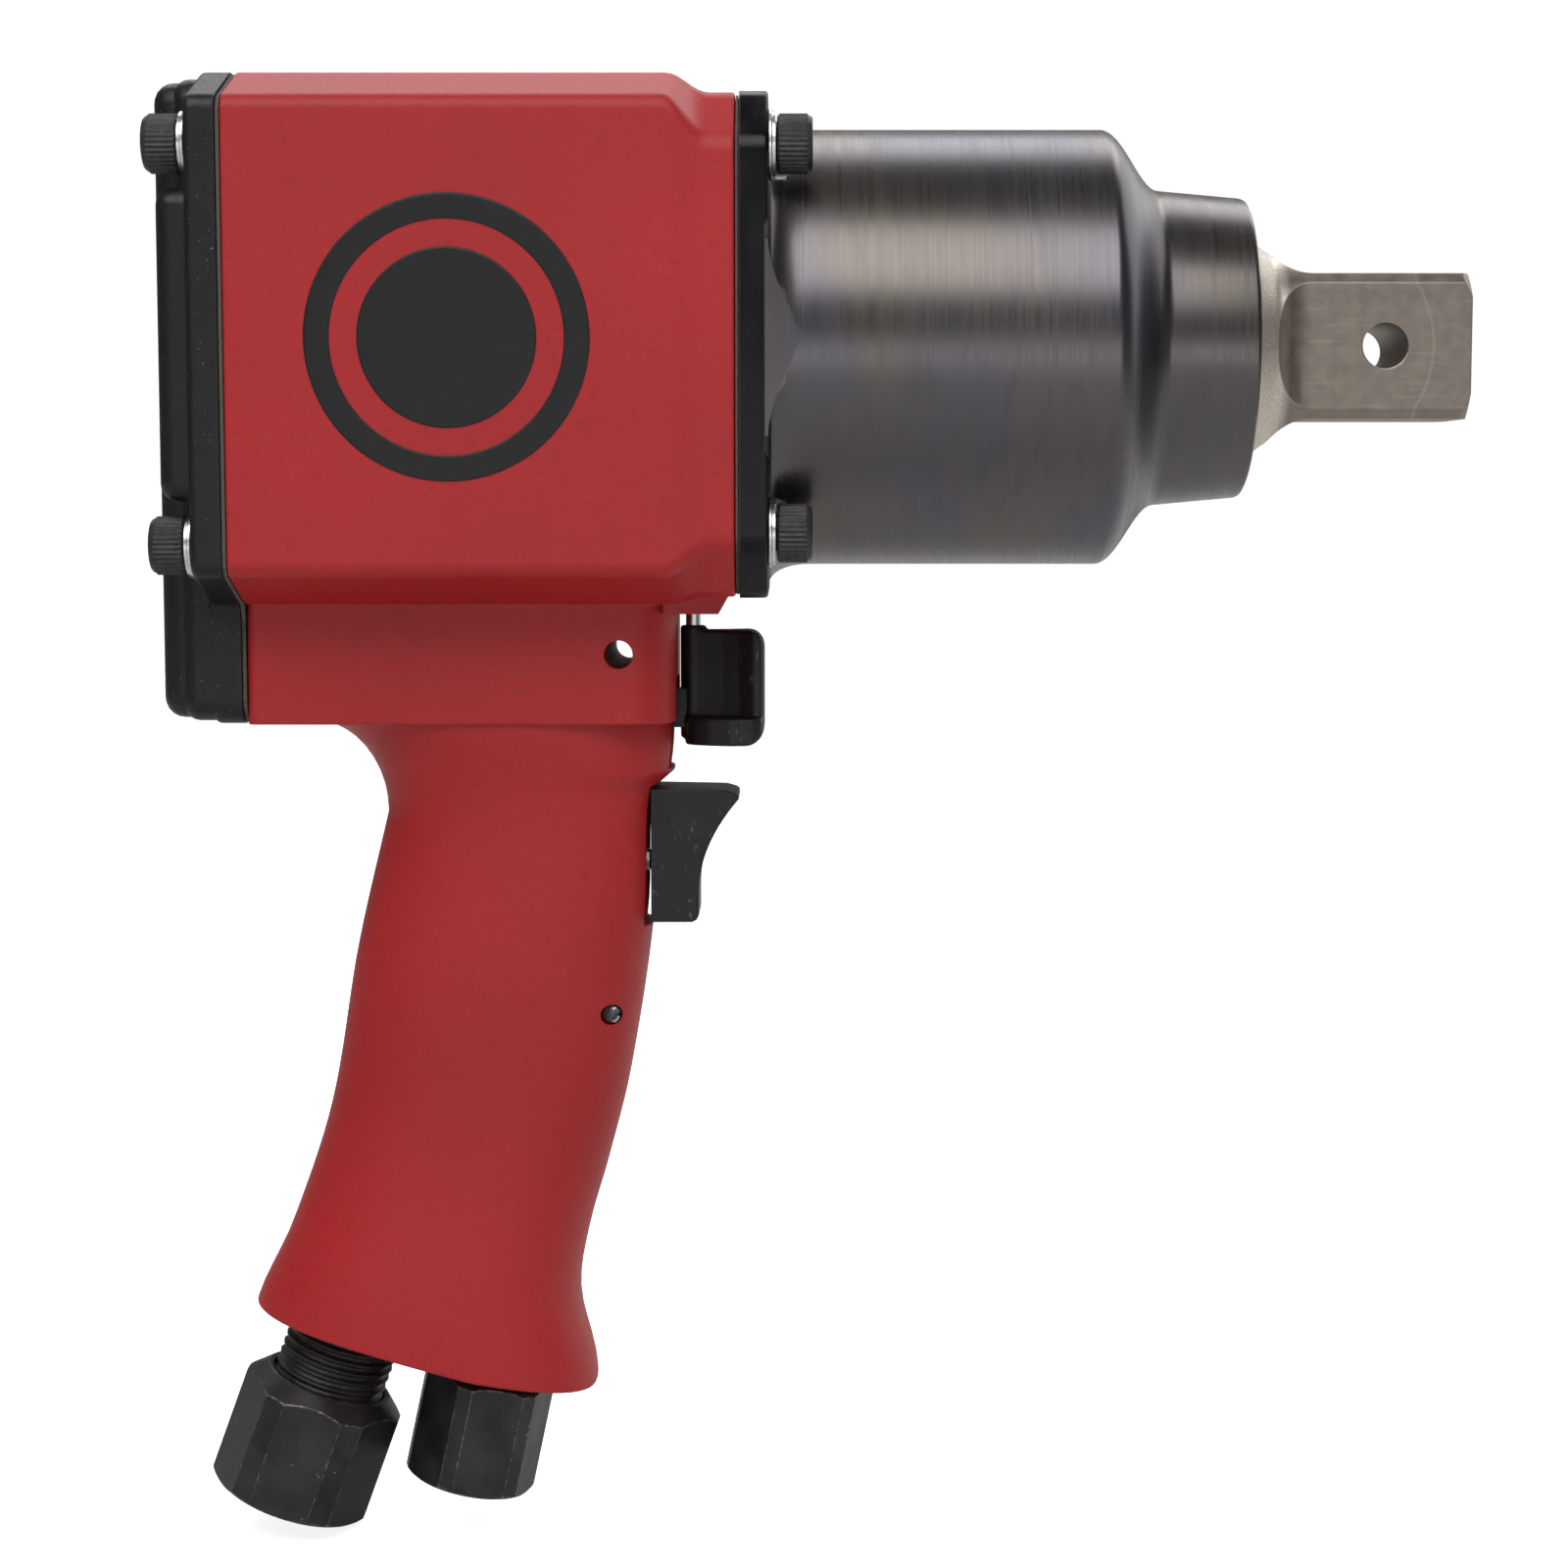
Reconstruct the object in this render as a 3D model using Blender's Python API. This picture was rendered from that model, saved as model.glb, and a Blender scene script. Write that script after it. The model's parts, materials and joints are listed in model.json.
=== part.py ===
"""A pistol-grip pneumatic impact wrench, as separate named pieces.

Frame: the origin is the centre of the square drive's end face, on the spindle axis.
+X is the way the drive points, +Z is up, and the grip hangs along -Z. Metres.
"""

import math

import bmesh
import bpy
from mathutils import Matrix, Vector

# Fits
SEAM = 0.00015  # between flat faces that are clamped together
GAP = 0.0003  # round a piece in its bore, and between pieces that move past each other

# Square drive and anvil
DRIVE_WIDTH = 0.0254
DRIVE_LENGTH = 0.0264
DRIVE_CORNER = 0.0018
DRIVE_TIP_CHAMFER = 0.0015
RETAINER_HOLE_RADIUS = 0.004
RETAINER_HOLE_X = -0.0151
NECK_LENGTH = 0.0124
NECK_STRAIGHT = 0.0042  # the full round part of the neck, before the nose
SHANK_RADIUS = DRIVE_WIDTH / 2 + 0.0073
ANVIL_FLANGE = 0.0055
JAW_LENGTH = 0.0135
JAW_ANGLE = math.radians(50)
PILOT_RADIUS = 0.009
PILOT_LENGTH = 0.009

# Hammer case
CASE_RADIUS = 0.0384
CASE_WALL = 0.004
CASE_LENGTH = 0.0892
NOSE_LENGTH = 0.0152
NOSE_WALL = 0.0028
NOSE_TAPER = 0.0013
SHOULDER_LENGTH = 0.0107
FLANGE_THICKNESS = 0.0049
FLANGE_FILLET = 0.0035
BUSHING_WALL = 0.0031
SEAL_LENGTH = 0.002
LIP_LENGTH = 0.0015
THRUST_WASHER = 0.0012

# Screws and washers
SCREW_RADIUS = 0.003
SCREW_LENGTH = 0.0225
SCREW_HEAD_RADIUS = 0.005
SCREW_HEAD_HEIGHT = 0.006
SOCKET_WIDTH = 0.005
SOCKET_DEPTH = 0.0032
WASHER_RADIUS = 0.0058
WASHER_THICKNESS = 0.0012
SCREW_ANGLE = math.radians(46.4)  # of the front screws round the spindle, from +Y
REAR_LOW_SCREW_DROP = 0.0021

# Motor housing
BARREL_LENGTH = 0.0853
BARREL_WALL = 0.0055
BARREL_SIDE_MARGIN = 0.007  # from a screw's axis to the side face
BARREL_TOP_MARGIN = 0.0131
BARREL_BOTTOM_MARGIN = 0.0124
BARREL_TOP_WIDTH = 0.044
COLLAR_STEP = 0.004
COLLAR_BACK = 0.0048
COLLAR_SLOPE = 0.006
FRONT_GASKET = 0.0004
REAR_GASKET = 0.0006
BLOCK_DROP = 0.021
BLOCK_WIDTH = 0.041
BLOCK_SETBACK = 0.0109  # of the block's front face behind the housing's
BLOCK_CORNER = 0.0015  # of its back corners

# Grip: (drop below the block, reach behind its front face) and (drop, half width)
ARMPIT_DEPTH = 0.0166
ARMPIT_REACH = 0.0138
GRIP_BACK = ((0.0166, 0.0523), (0.041, 0.0581), (0.07, 0.0633), (0.092, 0.0707), (0.108, 0.0778), (0.13, 0.0790))
GRIP_FRONT = ((-0.012, 0.0), (0.0094, 0.0006), (0.0123, 0.0036), (0.0356, 0.0044), (0.0646, 0.0088), (0.081, 0.0129),
              (0.094, 0.0166), (0.106, 0.0183), (0.119, 0.0155), (0.13, 0.0150))
GRIP_HALF_WIDTH = ((-0.012, 0.0200), (0.0, 0.0198), (0.0166, 0.0176), (0.05, 0.0172), (0.084, 0.0184), (0.106, 0.0203),
                   (0.13, 0.0208))
REAR_FACE_DROP = 0.1108  # where the two bottom faces start, under the rear fitting
REAR_FACE_REACH = 0.0611
REAR_FACE_TILT = math.radians(16)
FRONT_FACE_DROP = 0.1178
FRONT_FACE_REACH = 0.0367
FRONT_FACE_TILT = math.radians(12)
HANGER_HOLE_RADIUS = 0.0025
HANGER_HOLE_REACH = 0.0097
HANGER_HOLE_RISE = 0.0122

# Rear cover
COVER_PLATE = 0.0053
COVER_SIDE_HEIGHT = 0.0107
COVER_BAND_HEIGHT = 0.0142
COVER_BAND_WIDTH = 0.041
COVER_NOTCH = 0.0075
COVER_ROUND = 0.003

# Air motor
END_PLATE = 0.0117
CYLINDER_WALL = 0.0056
ECCENTRICITY = 0.0023
ROTOR_CLEARANCE = 0.0026
VANES = 6
VANE_THICKNESS = 0.0016
VANE_HEIGHT = 0.011
FRONT_BEARING = (0.009, 0.015, 0.0088)  # bore radius, outer radius, width
REAR_BEARING = (0.0073, 0.013, 0.0088)
DOWEL_RADIUS = 0.0015
STACK_SPRING = 0.0054

# Hammer mechanism
CAGE_CLEARANCE = 0.0008
CAGE_LENGTH = 0.033
CAGE_WEB = 0.0203
PIN_RADIUS = 0.0048
PIN_CIRCLE = 0.022
PIN_LENGTH = 0.024
PIN_TRAVEL = 0.009
CARRIER_THICKNESS = 0.0034
FOLLOWER_RADIUS = 0.003
FOLLOWER_CIRCLE = 0.0185
SPLINE_TEETH = 8
SPLINE_RADIUS = 0.0075
SPLINE_DEPTH = 0.001

# Throttle: trigger, rod and tilting valve
TRIGGER_WIDTH = 0.016
TRIGGER_HEIGHT = 0.0244
TRIGGER_DEPTH = 0.0086
TRIGGER_TIP = 0.0072
TRIGGER_DROP = 0.0121  # of its top below the block
TRIGGER_TRAVEL = 0.0055
TRIGGER_BACK_REACH = 0.0047
ROD_RADIUS = 0.002
ROD_DROP = 0.026
SUPPLY_REACH = 0.0204  # of the air supply bore's axis behind the block's front face
SUPPLY_RADIUS = 0.008
SEAT_DROP = 0.0504
SEAT_HEIGHT = 0.0044
SEAT_BORE_RADIUS = 0.0042
VALVE_RADIUS = 0.006
VALVE_HEIGHT = 0.0025
VALVE_STEM_RADIUS = 0.0015
VALVE_STEM_TOP_DROP = 0.024
SPRING_HEIGHT = 0.007
SPRING_RADIUS = 0.0042
SPRING_WIRE = 0.0005
SPRING_TURNS = 3.5
RETAINER_HEIGHT = 0.0016
RETAINER_BORE_RADIUS = 0.0036
ROLL_PIN_RADIUS = 0.0016
ROLL_PIN_REACH = 0.0117
ROLL_PIN_DROP = 0.0526

# Reverse lever and valve
LEVER_PIN_RADIUS = 0.00135
LEVER_PIN_REACH = -0.0028
LEVER_PIN_SOCKET = 0.006
LEVER_BOSS_RADIUS = 0.0024
LEVER_TOP_RISE = 0.0158
LEVER_BOTTOM_DROP = 0.0048
LEVER_FRONT_REACH = -0.0157
LEVER_RIM = 0.0053
TONGUE_THICKNESS = 0.004
REVERSE_REACH = 0.0119
REVERSE_RADIUS = 0.0074
REVERSE_RISE = 0.0072
REVERSE_HEIGHT = 0.0158
DETENT_RADIUS = 0.0016
DETENT_SPRING = 0.0036

# Air fittings at the bottom of the grip
EXHAUST_TILT = math.radians(20)
EXHAUST_FLATS = 0.0276
EXHAUST_CORNERS = 0.0294
EXHAUST_LENGTH = 0.0234
EXHAUST_SHOULDER = 0.0034
EXHAUST_REACH = 0.0729  # of its lower end behind the block's front face
EXHAUST_DROP = 0.1446
NIPPLE_RADIUS = 0.0104
NIPPLE_BORE_RADIUS = 0.0076
NIPPLE_LENGTH = 0.036
NIPPLE_ENGAGEMENT = 0.0115
EXHAUST_BORE_RADIUS = 0.0086
INLET_TILT = math.radians(12)
INLET_TURN = math.radians(13)
INLET_FLATS = 0.022
INLET_CORNERS = 0.0238
INLET_LENGTH = 0.0205
INLET_NECK = 0.0028
INLET_REACH = 0.0392
INLET_DROP = 0.1415
INLET_SPIGOT_RADIUS = 0.0094
INLET_SPIGOT = 0.0125
INLET_BORE_RADIUS = 0.0073
INLET_PASSAGE_RADIUS = 0.006
SCREEN_THICKNESS = 0.0012
EXHAUST_PASSAGE_RADIUS = 0.007
EXHAUST_PASSAGE_REACH = 0.0409

# Facets round each kind of turned shape
LARGE, MEDIUM, SMALL, TINY = 36, 20, 12, 8

# Places that follow from the sizes
NOSE_X = -(DRIVE_LENGTH + NECK_LENGTH)
FLANGE_X = NOSE_X - CASE_LENGTH  # the flange's back face
FRONT_X = FLANGE_X - FRONT_GASKET - 2 * SEAM  # the housing's front face
BACK_X = FRONT_X - BARREL_LENGTH
COVER_X = BACK_X - REAR_GASKET - 2 * SEAM
BUSHING_RADIUS = SHANK_RADIUS + GAP + BUSHING_WALL
NOSE_RADIUS = BUSHING_RADIUS + GAP + NOSE_WALL
CAVITY_RADIUS = CASE_RADIUS - CASE_WALL
SCREW_CIRCLE = CASE_RADIUS + SCREW_HEAD_RADIUS + 0.0016
SCREW_Y = SCREW_CIRCLE * math.cos(SCREW_ANGLE)
SCREW_Z = SCREW_CIRCLE * math.sin(SCREW_ANGLE)
HALF_WIDTH = SCREW_Y + BARREL_SIDE_MARGIN
BARREL_TOP = SCREW_Z + BARREL_TOP_MARGIN
BARREL_BOTTOM = -SCREW_Z - BARREL_BOTTOM_MARGIN
BLOCK_X = FRONT_X - BLOCK_SETBACK
BLOCK_Z = BARREL_BOTTOM - BLOCK_DROP
MOTOR_BORE = HALF_WIDTH - BARREL_WALL
STACK_RADIUS = MOTOR_BORE - GAP
SHOULDER_X = NOSE_X - NOSE_LENGTH - SHOULDER_LENGTH
STEP_X = SHOULDER_X - SEAM  # the case's inner shoulder, which takes the anvil's thrust
ANVIL_X = STEP_X - THRUST_WASHER - 2 * GAP
JAW_X = ANVIL_X - ANVIL_FLANGE
PILOT_X = JAW_X - JAW_LENGTH
CAGE_X = PILOT_X - 0.0012
WEB_X = CAGE_X - CAGE_WEB
PILOT_END_X = PILOT_X - PILOT_LENGTH
CARRIER_X = WEB_X - PIN_TRAVEL - GAP  # front face of the pins' carrier
PLATE_X = FRONT_X - 0.0005
CYLINDER_X = PLATE_X - END_PLATE - SEAM
REAR_PLATE_X = BACK_X + STACK_SPRING + END_PLATE + 0.0007
CYLINDER_END_X = REAR_PLATE_X + SEAM
CYLINDER_BORE = STACK_RADIUS - CYLINDER_WALL
ROTOR_RADIUS = CYLINDER_BORE - ROTOR_CLEARANCE
SUPPLY_X = BLOCK_X - SUPPLY_REACH
SEAT_Z = BLOCK_Z - SEAT_DROP
VALVE_Z = SEAT_Z - SEAT_HEIGHT - GAP
SPRING_Z = VALVE_Z - VALVE_HEIGHT - GAP
RETAINER_Z = SPRING_Z - SPRING_HEIGHT - GAP
TRIGGER_X = BLOCK_X - TRIGGER_BACK_REACH
TRIGGER_Z = BLOCK_Z - TRIGGER_DROP
REVERSE_X = BLOCK_X - REVERSE_REACH
REVERSE_Z = BLOCK_Z + REVERSE_RISE
LEVER_PIN_X = BLOCK_X - LEVER_PIN_REACH
LUG_Z = BARREL_BOTTOM - 0.0018


def remove_everything():
    for item in list(bpy.data.objects):
        bpy.data.objects.remove(item, do_unlink=True)


def make_material(name, colour, roughness, metallic=0.0):
    material = bpy.data.materials.new(name)
    material.use_nodes = True
    principled = material.node_tree.nodes["Principled BSDF"]
    principled.inputs["Base Color"].default_value = (*colour, 1.0)
    principled.inputs["Roughness"].default_value = roughness
    principled.inputs["Metallic"].default_value = metallic
    material.diffuse_color = (*colour, 1.0)
    return material


FINISHES = {
    "red_paint": ((0.38, 0.022, 0.027), 0.5, 0.0),
    "black_paint": ((0.02, 0.02, 0.022), 0.45, 0.0),
    "blued_steel": ((0.09, 0.085, 0.09), 0.3, 1.0),
    "drive_steel": ((0.22, 0.19, 0.17), 0.5, 1.0),
    "black_oxide": ((0.02, 0.02, 0.021), 0.45, 0.6),
    "zinc": ((0.72, 0.73, 0.75), 0.3, 1.0),
    "ground_steel": ((0.5, 0.5, 0.52), 0.25, 1.0),
    "cast_iron": ((0.18, 0.18, 0.19), 0.55, 1.0),
    "aluminium": ((0.65, 0.66, 0.68), 0.4, 1.0),
    "bronze": ((0.55, 0.33, 0.14), 0.4, 1.0),
    "fibre": ((0.33, 0.2, 0.1), 0.7, 0.0),
    "nylon": ((0.025, 0.025, 0.027), 0.5, 0.0),
    "rubber": ((0.015, 0.015, 0.015), 0.8, 0.0),
    "gasket_paper": ((0.12, 0.1, 0.09), 0.9, 0.0),
}


# --- Shapes -------------------------------------------------------------------------


def closed(bm):
    """The shape with shared points merged and every face turned outwards."""
    bmesh.ops.remove_doubles(bm, verts=bm.verts, dist=1e-7)
    bmesh.ops.recalc_face_normals(bm, faces=bm.faces)
    return bm


def spun(profile, segments):
    """The outline of (x, radius) points, spun round X: open if it meets the axis."""
    bm = bmesh.new()
    verts = [bm.verts.new((x, 0.0, radius)) for x, radius in profile]
    pairs = list(zip(verts, verts[1:]))
    if profile[0][1] > 0.0:
        pairs.append((verts[-1], verts[0]))
    edges = [bm.edges.new(pair) for pair in pairs]
    bmesh.ops.spin(bm, geom=verts + edges, cent=(0, 0, 0), axis=(1, 0, 0), angle=2 * math.pi,
                   steps=segments, use_merge=True, use_duplicate=False)
    return closed(bm)


def rod(start, end, radius, segments, chamfer=0.0):
    """A solid round bar along X."""
    step = math.copysign(chamfer, end - start)
    if not chamfer:
        return spun([(start, 0.0), (start, radius), (end, radius), (end, 0.0)], segments)
    return spun([(start, 0.0), (start, radius - chamfer), (start + step, radius), (end - step, radius),
                 (end, radius - chamfer), (end, 0.0)], segments)


def tube(start, end, inner, outer, segments):
    return spun([(start, inner), (start, outer), (end, outer), (end, inner)], segments)


AXES = {"X": lambda a, b, d: (d, a, b), "Y": lambda a, b, d: (a, d, b), "Z": lambda a, b, d: (a, b, d)}


def prism(outline, low, high, axis):
    """An outline in the plane across the axis, extruded along it from low to high."""
    bm = bmesh.new()
    face = bm.faces.new([bm.verts.new(AXES[axis](a, b, low)) for a, b in outline])
    extruded = bmesh.ops.extrude_face_region(bm, geom=[face])
    moved = [item for item in extruded["geom"] if isinstance(item, bmesh.types.BMVert)]
    bmesh.ops.translate(bm, verts=moved, vec=AXES[axis](0.0, 0.0, high - low))
    return closed(bm)


def box(low, high):
    outline = [(low[0], low[1]), (high[0], low[1]), (high[0], high[1]), (low[0], high[1])]
    return prism(outline, low[2], high[2], "Z")


def lofted(rings):
    """A skin through rings of equally many points, closed at both ends."""
    bm = bmesh.new()
    loops = [[bm.verts.new(point) for point in ring] for ring in rings]
    for lower, upper in zip(loops, loops[1:]):
        for i in range(len(lower)):
            bm.faces.new((lower[i - 1], lower[i], upper[i], upper[i - 1]))
    bm.faces.new(loops[0])
    bm.faces.new(loops[-1])
    return closed(bm)


def rounded(corners, steps=3):
    """The outline through (a, b, radius) corners, each turned by an arc of its radius."""
    outline = []
    for i, (a, b, radius) in enumerate(corners):
        corner = Vector((a, b))
        before = (Vector(corners[i - 1][:2]) - corner).normalized()
        after = (Vector(corners[(i + 1) % len(corners)][:2]) - corner).normalized()
        if radius == 0.0:
            outline.append((a, b))
            continue
        half = before.angle(after) / 2
        centre = corner + (before + after).normalized() * radius / math.sin(half)
        first = corner + before * radius / math.tan(half) - centre
        last = corner + after * radius / math.tan(half) - centre
        for step in range(steps + 1):
            spoke = first.lerp(last, step / steps).normalized() * radius
            outline.append(tuple(centre + spoke))
    return outline


def mirrored(half):
    """A closed outline from the half with a > 0, listed from top to bottom."""
    return half + [(-a, *rest) for a, *rest in reversed(half)]


def smooth(knots, at):
    """The height at a place on the smooth curve through (place, height) knots."""
    places = [knot[0] for knot in knots]
    i = max(0, min(len(knots) - 2, sum(place <= at for place in places) - 1))

    def slope(k):
        low, high = max(k - 1, 0), min(k + 1, len(knots) - 1)
        return (knots[high][1] - knots[low][1]) / (places[high] - places[low])

    span = places[i + 1] - places[i]
    t = max(0.0, min(1.0, (at - places[i]) / span))
    return ((2 * t**3 - 3 * t**2 + 1) * knots[i][1] + (t**3 - 2 * t**2 + t) * span * slope(i)
            + (3 * t**2 - 2 * t**3) * knots[i + 1][1] + (t**3 - t**2) * span * slope(i + 1))


def bolt_hexagon(flats, corners):
    """A hexagon of the given width across flats, its corners cut square to a width."""
    outline = []
    for side in range(12):
        near, far = (flats, corners) if side % 2 == 0 else (corners, flats)
        angle = math.radians(30 * side)
        across = (far / 2 - near / 2 * math.cos(math.radians(30))) / math.sin(math.radians(30))
        outline.append((near / 2 * math.cos(angle) - across * math.sin(angle),
                        near / 2 * math.sin(angle) + across * math.cos(angle)))
    return outline


TO_Y = Matrix.Rotation(math.radians(90), 4, "Z")  # turns a shape along X to lie along Y
TO_Z = Matrix.Rotation(math.radians(-90), 4, "Y")  # turns a shape along X to stand along Z


def at(x=0.0, y=0.0, z=0.0):
    return Matrix.Translation((x, y, z))


def down_from(x, z, tilt):
    """Stands a shape made along X on (x, z), its axis leaning from +Z towards +X."""
    return at(x, 0.0, z) @ Matrix.Rotation(tilt, 4, "Y") @ TO_Z


# --- Objects ------------------------------------------------------------------------


def shaped(name, bm, matrix, pivot=(0.0, 0.0, 0.0)):
    """An object from the shape, its origin at the pivot, not yet in any collection."""
    if matrix is not None:
        bm.transform(matrix)
    bm.transform(Matrix.Translation(pivot).inverted())
    mesh = bpy.data.meshes.new(name)
    bm.to_mesh(mesh)
    bm.free()
    item = bpy.data.objects.new(name, mesh)
    item.location = pivot
    return item


def add(name, bm, finish, matrix=None, pivot=(0.0, 0.0, 0.0)):
    """A named piece in its finish."""
    item = shaped(name, bm, matrix, pivot)
    bpy.context.scene.collection.objects.link(item)
    item.data.materials.append(MATERIALS[finish])
    item.data.shade_smooth()
    item.data.set_sharp_from_angle(angle=math.radians(35))
    return item


def combine(item, operation, shapes):
    """One exact Boolean with all the (shape, matrix) pairs, kept as hidden wire tools."""
    tools = bpy.data.collections.new(f"{operation.lower()} {item.name}")
    bpy.context.scene.collection.children.link(tools)
    for i, (bm, matrix) in enumerate(shapes):
        tool = shaped(f"{tools.name} {i}", bm, matrix)
        tool.hide_render = True
        tool.display_type = "WIRE"
        tools.objects.link(tool)
    modifier = item.modifiers.new(operation.lower(), "BOOLEAN")
    modifier.operand_type = "COLLECTION"
    modifier.collection = tools
    modifier.operation = operation
    modifier.solver = "EXACT"
    weld = item.modifiers.new("merged slivers", "WELD")
    weld.merge_threshold = 0.000002


def cut(item, *shapes):
    combine(item, "DIFFERENCE", shapes)


def join(item, *shapes):
    combine(item, "UNION", shapes)


def keep_within(item, bm, matrix=None):
    combine(item, "INTERSECT", [(bm, matrix)])


def soften(item, width, segments=1):
    bevel = item.modifiers.new("softened edges", "BEVEL")
    bevel.width = width
    bevel.segments = segments
    bevel.limit_method = "ANGLE"
    bevel.angle_limit = math.radians(40)


# --- Casings ------------------------------------------------------------------------


def barrel_outline(inset=0.0):
    """The (y, z) section of the motor barrel: flat sides, with sloped top and bottom."""
    side, top = HALF_WIDTH - inset, BARREL_TOP - inset
    slope = BARREL_TOP_WIDTH / 2
    return mirrored([(slope, top, 0.004), (side, top - 0.006, 0.003), (side, BARREL_BOTTOM + 0.0055, 0.003),
                     (slope, BARREL_BOTTOM, 0.004)])


def collar_outline(inset=0.0):
    """The (y, z) section of the collar, the front gasket and the hammer case's flange."""
    side, top = HALF_WIDTH - 0.0008 - inset, BARREL_TOP - COLLAR_STEP - inset
    bottom = BARREL_BOTTOM + 0.0015 + inset
    return mirrored([(side - 0.009, top, 0.005), (side, top - 0.009, 0.005), (side, bottom + 0.009, 0.005),
                     (side - 0.009, bottom, 0.005)])


def ring_at(x, outline):
    return [(x, y, z) for y, z in outline]


def barrel():
    full, collar = rounded(barrel_outline()), rounded(collar_outline())
    slope_x = FRONT_X - COLLAR_BACK
    return lofted([ring_at(BACK_X, full), ring_at(slope_x - COLLAR_SLOPE, full), ring_at(slope_x, collar),
                   ring_at(FRONT_X, collar)])


def block():
    half = BLOCK_WIDTH / 2
    outline = rounded([(BLOCK_X, half, 0.009), (BLOCK_X, -half, 0.009), (BACK_X, -half, BLOCK_CORNER),
                       (BACK_X, half, BLOCK_CORNER)])
    return prism(outline, BLOCK_Z, BARREL_BOTTOM + 0.004, "Z")


def grip_back(drop):
    """How far the grip's back lies behind the block's front: an arc, then the spine.

    The arc reaches no further back than the housing does.
    """
    if drop >= ARMPIT_DEPTH:
        return smooth(GRIP_BACK, drop)
    spine = GRIP_BACK[0][1]
    reach = min(ARMPIT_REACH, BLOCK_X - spine - BACK_X - BLOCK_CORNER)
    rise = min(1.0, (ARMPIT_DEPTH - drop) / ARMPIT_DEPTH)
    return spine + reach * (1 - math.sqrt(1 - rise**2))


def grip(points=24, roundness=2.7):
    """The pistol grip: rounded sections from inside the block down past its foot."""
    drops = [-0.012] + [ARMPIT_DEPTH * (1 - math.cos(math.radians(18 * k))) for k in range(6)]
    drops += [GRIP_FRONT[1][0], GRIP_FRONT[2][0]] + [0.027 + 0.0101 * k for k in range(11)]
    rings = []
    for drop in sorted(drops):
        front, back = smooth(GRIP_FRONT, drop), grip_back(max(drop, 0.0))
        middle, half_depth = BLOCK_X - (front + back) / 2, (back - front) / 2
        ring = []
        for k in range(points):
            cosine, sine = math.cos(2 * math.pi * k / points), math.sin(2 * math.pi * k / points)
            ring.append((middle + half_depth * math.copysign(abs(cosine) ** (2 / roundness), cosine),
                         smooth(GRIP_HALF_WIDTH, drop) * math.copysign(abs(sine) ** (2 / roundness), sine),
                         BLOCK_Z - drop))
        rings.append(ring)
    return lofted(rings)


def foot_cutter():
    """Everything under the grip's two sloping bottom faces."""
    rear_x, rear_z = BLOCK_X - REAR_FACE_REACH, BLOCK_Z - REAR_FACE_DROP
    front_x, front_z = BLOCK_X - FRONT_FACE_REACH, BLOCK_Z - FRONT_FACE_DROP
    rear_slope, front_slope = math.tan(REAR_FACE_TILT), math.tan(FRONT_FACE_TILT)
    meet_x = (rear_z - front_z + rear_slope * rear_x - front_slope * front_x) / (rear_slope - front_slope)
    start, end = rear_x - 0.05, front_x + 0.05
    outline = [(start, rear_z - rear_slope * (start - rear_x)), (meet_x, rear_z - rear_slope * (meet_x - rear_x)),
               (end, front_z - front_slope * (end - front_x)), (end, front_z - 0.06), (start, front_z - 0.06)]
    return prism(outline, -0.04, 0.04, "Y")


def lug():
    """The nose under the collar that holds the lever's pin."""
    return prism([(BLOCK_X - 0.002, LUG_Z + 0.008), (FRONT_X - 0.0009, LUG_Z + 0.008), (FRONT_X - 0.0015, LUG_Z + 0.0031),
                  (FRONT_X - 0.0032, LUG_Z), (BLOCK_X - 0.002, LUG_Z)], -BLOCK_WIDTH / 2 + 0.002,
                 BLOCK_WIDTH / 2 - 0.002, "Y")


def reverse_chamber():
    """Bore of the reverse valve, opened to the front so that the valve can go in."""
    radius = REVERSE_RADIUS + GAP
    outline = [(REVERSE_X + radius * math.cos(a), radius * math.sin(a))
               for a in (math.radians(90 + 15 * k) for k in range(13))]
    outline = [(BLOCK_X + 0.004, radius)] + outline + [(BLOCK_X + 0.004, -radius)]
    return prism(outline, REVERSE_Z - REVERSE_HEIGHT - GAP, REVERSE_Z + GAP, "Z")


def screw_places(front):
    """The (y, z) of the four screws at one end: top left, top right, then the low ones."""
    low = -SCREW_Z if front else -SCREW_Z - REAR_LOW_SCREW_DROP
    return [(SCREW_Y, SCREW_Z), (-SCREW_Y, SCREW_Z), (SCREW_Y, low), (-SCREW_Y, low)]


def screw_holes(front, start, end):
    return [(rod(start, end, SCREW_RADIUS + GAP, TINY), at(0.0, y, z)) for y, z in screw_places(front)]


def exhaust_at(along):
    """A point on the exhaust fitting's axis, measured up from its lower end."""
    return (BLOCK_X - EXHAUST_REACH + along * math.sin(EXHAUST_TILT),
            BLOCK_Z - EXHAUST_DROP + along * math.cos(EXHAUST_TILT))


def inlet_at(along):
    return (BLOCK_X - INLET_REACH + along * math.sin(INLET_TILT),
            BLOCK_Z - INLET_DROP + along * math.cos(INLET_TILT))


def nipple_top():
    return EXHAUST_LENGTH - NIPPLE_ENGAGEMENT + NIPPLE_LENGTH


def between(start, end, radius):
    """A round bar between two (x, z) points of the middle plane, with its matrix."""
    dx, dz = end[0] - start[0], end[1] - start[1]
    return rod(0.0, math.hypot(dx, dz), radius, SMALL), down_from(*start, math.atan2(dx, dz))


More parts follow.
